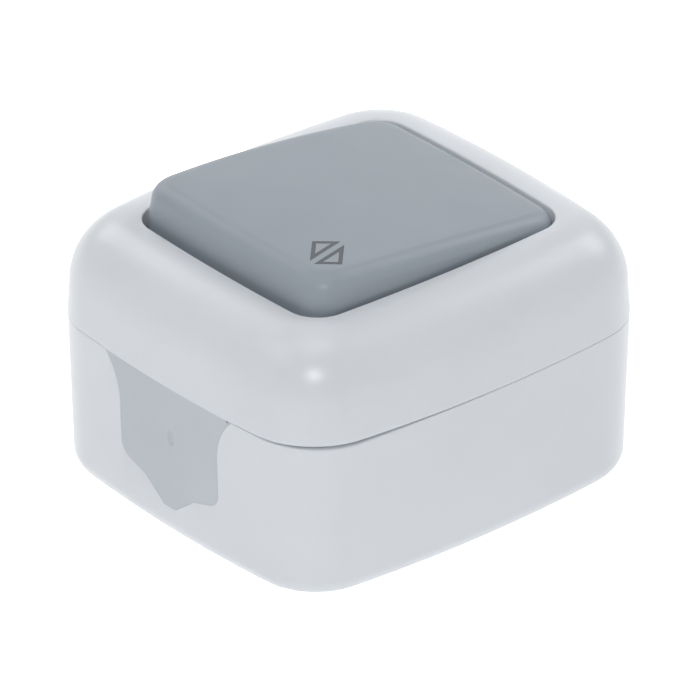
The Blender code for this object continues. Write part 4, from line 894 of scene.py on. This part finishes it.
def build_rocker():
    bottom = ROCKER_TOP - ROCKER_SKIRT
    under = ROCKER_TOP - ROCKER_WALL
    rings = []
    for i in range(LIP_STEPS + 1):
        angle = math.radians(90 * i / LIP_STEPS)
        inset = ROCKER_LIP * (1 - math.sin(angle))
        height = bottom + ROCKER_LIP * (1 - math.cos(angle))
        rings.append(rocker_ring(inset, ROCKER_END_FOOT + inset, height, ROCKER_CORNER - inset))
    steps = 2 * ROUND_STEPS
    for i in range(steps + 1):
        angle = math.radians(ROCKER_EDGE_SWEEP * i / steps)
        inset = ROCKER_EDGE_ROUND * (1 - math.cos(angle))
        height = ROCKER_TOP - ROCKER_CROWN - ROCKER_EDGE_ROUND * (1 - math.sin(angle))
        sides, ends = ROCKER_SIDE_DRAFT + inset, ROCKER_END_LEAN + inset
        rings.append(rocker_ring(sides, ends, height, ROCKER_CORNER - inset / 2, True))
    rim = rings[-1]
    for share in CROWN_SHARES:
        height = ROCKER_TOP - ROCKER_CROWN * share**2
        rings.append([(u * share, v * share, height + bow_at(v * share)) for u, v, _ in rim])
    cap = loft("rocker_cap", rings)
    # Inset at the sides, inset at the ends, and height.
    hollow = (
        (1.8 * MM, 1.8 * MM, bottom - 1 * MM),
        (2.0 * MM, 2.6 * MM, under - 1.8 * MM),
        (2.4 * MM, 3.0 * MM, under - 0.6 * MM),
        (3.8 * MM, 4.4 * MM, under),
    )
    hollow = loft("hollow", [rocker_ring(*level, HOLLOW_CORNER) for level in hollow])
    combine(cap, [hollow], "DIFFERENCE")
    root = under + ROCKER_WALL / 2
    legs = []
    for x, y in POST_PLACES:
        x_range = (x - POST_HALF_WIDTH, x + POST_HALF_WIDTH)
        y_range = (y - POST_HALF_WIDTH, y + POST_HALF_WIDTH)
        legs.append(block("post", x_range, y_range, (POST_FOOT, root)))
    for side in (1, -1):
        outline = [(side * CLIP_ROOT[0] * MM, root)]
        outline += [(side * y * MM, z * MM) for y, z in CLIP_HOOK]
        outline.append((side * CLIP_ROOT[1] * MM, root))
        legs.append(prism("clip", outline, -CLIP_HALF_WIDTH, CLIP_HALF_WIDTH, "X"))
    combine(cap, legs, "UNION")
    return finish(cap, rocker_plastic, 38.0)


rocker_cap = build_rocker()
flat_top = BVHTree.FromPolygons(
    [corner.co.copy() for corner in rocker_cap.data.vertices],
    [face.vertices[:] for face in rocker_cap.data.polygons],
)
to_rest(rocker_cap)
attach(rocker_cap, "rocker")
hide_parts("rocker")
print("rocker_cap faces:", len(rocker_cap.data.polygons))

# %% [markdown]
# ## The printed sign
#
# Two outlined triangles, one the other turned half round, are the common sign for a two-way
# switch. The strokes are two thirds of a millimetre wide. The pad lays the ink over the crown
# of the rocker, so the strips are laid down on the cap's own surface. All sizes of the sign
# are in millimetres.

# %% The sign
SIGN_CENTER = (14.4, -17.5)
SIGN_STROKE = 0.66
SIGN_PROUD = 0.03
SIGN_STEPS = 10
ABOVE_CAP = 12
TRIANGLES = (
    ((-3.79, 0.59), (-1.82, 3.25), (-0.14, -2.81)),
    ((3.79, -0.59), (1.82, -3.25), (0.14, 2.81)),
)


def moved_sides(corners, distance):
    """The corners of a closed outline whose sides are all moved sideways."""
    moved = []
    for i, here in enumerate(corners):
        here = Vector(here)
        before = (here - Vector(corners[i - 1])).normalized()
        after = (Vector(corners[(i + 1) % len(corners)]) - here).normalized()
        first, second = Vector((-before.y, before.x)), Vector((-after.y, after.x))
        moved.append(here + (first + second) * (distance / (1 + first.dot(second))))
    return moved


def lay_on_cap(x, y, proud):
    """A point of the print on the rocker's crown."""
    start = Vector(((SIGN_CENTER[0] + x) * MM, (SIGN_CENTER[1] + y) * MM, ABOVE_CAP * MM))
    hit = flat_top.ray_cast(start, Vector((0, 0, -1)))[0]
    return hit + Vector((0, 0, proud * MM))


def build_sign():
    points = []
    faces = []
    for corners in TRIANGLES:
        rails = [moved_sides(corners, SIGN_STROKE / 2), moved_sides(corners, -SIGN_STROKE / 2)]
        first = len(points)
        for i in range(3):
            for step in range(SIGN_STEPS):
                for rail, proud in ((0, 0.0), (0, SIGN_PROUD), (1, SIGN_PROUD), (1, 0.0)):
                    spot = rails[rail][i].lerp(rails[rail][(i + 1) % 3], step / SIGN_STEPS)
                    points.append(lay_on_cap(spot.x, spot.y, proud))
        count = 3 * SIGN_STEPS
        for i in range(count):
            here, ahead = first + 4 * i, first + 4 * ((i + 1) % count)
            for k in range(3):
                faces.append((here + k, here + k + 1, ahead + k + 1, ahead + k))
    return finish(add_mesh("two_way_sign", points, faces), sign_ink)


two_way_sign = to_rest(build_sign())
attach(two_way_sign, "rocker")
print("two_way_sign faces:", len(two_way_sign.data.polygons))

# %% [markdown]
# ## The plunger's spring
#
# The coil is wound from 0.45 mm wire. Its end turns are closed up, so that it stands square on
# the plunger. It sits in the tilted barrel and rides with the rocker.

# %% The plunger's spring
SPRING_WIRE = 0.45 * MM
SPRING_RADIUS = 1.72 * MM
SPRING_TURNS = 6
SPRING_LOW = -3.475 * MM
SPRING_HIGH = 2.175 * MM
SPRING_END_PITCH = 0.62 * MM
SPRING_STEPS = 32
SPRING_SIDES = 12


def spring_height(turns):
    """Height of the wire's middle after so many turns, with one closed turn at each end."""
    open_pitch = (SPRING_HIGH - SPRING_LOW - 2 * SPRING_END_PITCH) / (SPRING_TURNS - 2)
    opened = min(max(turns - 1, 0.0), SPRING_TURNS - 2)
    return SPRING_LOW + opened * open_pitch + (turns - opened) * SPRING_END_PITCH


def build_spring():
    rings = []
    for i in range(SPRING_STEPS * SPRING_TURNS + 1):
        turns = i / SPRING_STEPS
        out = Vector((math.cos(2 * math.pi * turns), math.sin(2 * math.pi * turns), 0))
        up = Vector((0, 0, 1))
        middle = out * SPRING_RADIUS + up * spring_height(turns)
        wire = circle((0, 0), SPRING_WIRE / 2, SPRING_SIDES)
        rings.append([middle + out * u + up * v for u, v in wire])
    return finish(loft("spring_coil", rings), plated_steel, angle=60.0)


spring_coil = to_rest(build_spring())
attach(spring_coil, "rocker")
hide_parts("plunger_spring")
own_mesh(spring_coil)
print("spring_coil faces:", len(spring_coil.data.polygons))

# %% [markdown]
# ## The parts inside
#
# The rest of the mechanism keeps the shapes of the measured frame. Each part gets the
# material that its slot in the record names.

# %% Materials for the parts inside
for entry in frame["record"]["subparts"]:
    part = nodes[entry["node"]]
    part.data.materials.clear()
    part.data.materials.append(looks[entry["material_slot"]])

# %% [markdown]
# ## The camera
#
# The photograph was taken from far off with a long lens, so that its edges run nearly
# parallel, from the corner between the lower end and the right side.

# %% The camera
CAMERA_AZIMUTH = 49.87
CAMERA_HEIGHT = 29.59
CAMERA_DISTANCE = 1.80531
CAMERA_LENS = 596.16
CAMERA_TARGET = Vector((0.0005, -0.0002, 0.02108))
CAMERA_RAISE = -0.00062
CAMERA_SIDESTEP = 0.00002


def from_compass(azimuth, height):
    """The direction towards a place seen from the switch, with both angles in degrees."""
    a, e = math.radians(azimuth), math.radians(height)
    return Vector((math.sin(a) * math.cos(e), -math.cos(a) * math.cos(e), math.sin(e)))


camera_data = bpy.data.cameras.new("camera")
camera_data.sensor_width = 36.0
camera_data.lens = CAMERA_LENS
camera_data.clip_end = 20.0
camera = bpy.data.objects.new("camera", camera_data)
bpy.context.collection.objects.link(camera)
camera_back = from_compass(CAMERA_AZIMUTH, CAMERA_HEIGHT)
camera_right = from_compass(CAMERA_AZIMUTH + 90, 0)
camera_up = camera_back.cross(camera_right)
looked_at = CAMERA_TARGET + camera_up * CAMERA_RAISE + camera_right * CAMERA_SIDESTEP
turned = Matrix((camera_right, camera_up, camera_back)).transposed().to_4x4()
camera.matrix_world = Matrix.Translation(looked_at + camera_back * CAMERA_DISTANCE) @ turned
bpy.context.scene.camera = camera
print("camera at", [round(v, 3) for v in camera.location])

# %% [markdown]
# ## Light
#
# The photograph is a catalogue picture: soft boxes on all sides, and one small lamp that
# leaves a bright spot on the shoulder above the near corner. The world gives only a weak even
# light. It is plain white to the eye and in reflections, and so is the table: one function
# tells such rays from those that only bring light.

# %% The world
WORLD_LIGHT = 0.18


def seen_rays(tree):
    """One for camera, glossy and transmission rays, and zero for rays that only bring light."""
    path = add(tree, "LightPath").outputs
    first = {0: path["Is Camera Ray"], 1: path["Is Glossy Ray"]}
    first = add(tree, "Math", first, operation="ADD")
    last = {0: first, 1: path["Is Transmission Ray"]}
    return add(tree, "Math", last, operation="ADD", use_clamp=True)


world = bpy.data.worlds.new("tent")
world.use_nodes = True
bpy.context.scene.world = world
sky = world.node_tree
white = linear("#FFFFFF")
plain = add(sky, sky.nodes["Background"], {"Color": white, "Strength": WORLD_LIGHT})
seen = add(sky, "Background", {"Color": white, "Strength": 1.0})
both = add(sky, "MixShader", {0: seen_rays(sky), 1: plain, 2: seen})
add(sky, sky.nodes["World Output"], {"Surface": both})
print("world:", world.name)

# %% The lamps
LAMPS_AIM = Vector((0, 0, 0.03))
# Name, compass direction and height in degrees, distance and width in metres, and watts.
LAMPS = (
    ("key", 46.5, 36, 0.9, 0.06, 2.15),
    ("overhead", 49, 84, 1.2, 0.7, 2.5),
    ("front_left", -30, 50, 1.2, 0.7, 1.75),
    ("left", -90, 35, 1.2, 0.7, 2.8),
    ("right_back", 170, 35, 1.2, 0.7, 4.2),
    ("back_low", 226, 16, 1.2, 0.7, 0.6),
)


def soft_box(name, azimuth, height, distance, width, power):
    """A round lamp aimed at the switch."""
    back = from_compass(azimuth, height)
    light = bpy.data.lights.new(name, "AREA")
    light.shape = "DISK"
    light.size = width
    light.energy = power
    lamp = bpy.data.objects.new(name, light)
    bpy.context.collection.objects.link(lamp)
    lamp.location = LAMPS_AIM + back * distance
    lamp.rotation_mode = "QUATERNION"
    lamp.rotation_quaternion = back.to_track_quat("Z", "Y")
    lamp.visible_camera = False


for lamp_settings in LAMPS:
    soft_box(*lamp_settings)
print("lamps:", len(LAMPS))

# %% [markdown]
# ## The table
#
# The switch lies on a white sheet that fades into the background. The sheet is a fine grid
# that rises by a hair far from the switch. It looks brighter than its light would make it, as
# an overexposed sheet does, and the more so the farther from the switch, so its edge never
# shows and only the soft shadow close to the foot is left. It also glows a little on its own,
# and that glow lights the switch from below like a lamp.

# %% The table
SHEET_HALF = 1.5
SHEET_STEPS = 24
SHEET_BELOW = 0.05 * MM
SHEET_FLAT_RADIUS = 0.9
SHEET_CURL = 0.02
SHEET_PATCH = 60.0
# Where the glare starts and ends, in metres from the switch, and how strong it is there.
GLARE_REACH = (0.08, 0.5)
GLARE = (0.72, 1.0)
# For the light that it sends onto the switch, the sheet glows with this strength of its own, so it
# lights the switch from below like a lamp.
SHEET_LIGHT = 0.29


def build_sheet():
    points = []
    faces = []
    for i in range(SHEET_STEPS + 1):
        for j in range(SHEET_STEPS + 1):
            x = SHEET_HALF * (2 * i / SHEET_STEPS - 1)
            y = SHEET_HALF * (2 * j / SHEET_STEPS - 1)
            rise = SHEET_CURL * max(0.0, math.hypot(x, y) - SHEET_FLAT_RADIUS) ** 2
            points.append((x, y, rise - SHEET_BELOW))
    for i in range(SHEET_STEPS):
        for j in range(SHEET_STEPS):
            corner = i * (SHEET_STEPS + 1) + j
            ahead = corner + SHEET_STEPS + 1
            faces.append((corner, corner + 1, ahead + 1, ahead))
    return add_mesh("table_sheet", points, faces)


sheet_look, tree, shader, place = new_look("table_sheet")
tone = add(tree, "TexNoise", {"Vector": place, "Scale": per_mm(SHEET_PATCH), "Detail": 2.0})
away = add(tree, "VectorMath", {0: place}, operation="LENGTH").outputs["Value"]
glare = {"Value": away, "From Min": GLARE_REACH[0], "From Max": GLARE_REACH[1]}
glare["To Min"], glare["To Max"] = GLARE
glare = add(tree, "MapRange", glare)
shine = {"Value": seen_rays(tree), "From Min": 0.0, "From Max": 1.0}
shine["To Min"], shine["To Max"] = SHEET_LIGHT, glare
surface = {
    "Base Color": add(tree, "ValToRGB", {"Fac": tone}, [(0.2, "#F4F4F4"), (0.8, "#F7F7F7")]),
    "Roughness": 0.9,
    "Specular IOR Level": 0.0,
    "Emission Color": white,
    "Emission Strength": add(tree, "MapRange", shine),
}
add(tree, shader, surface)
table_sheet = finish(build_sheet(), sheet_look)
print("table_sheet faces:", len(table_sheet.data.polygons))

# %% [markdown]
# ## The view transform
#
# The picture shows the colours with the Standard view transform.

# %% The view transform
bpy.context.scene.view_settings.view_transform = "Standard"
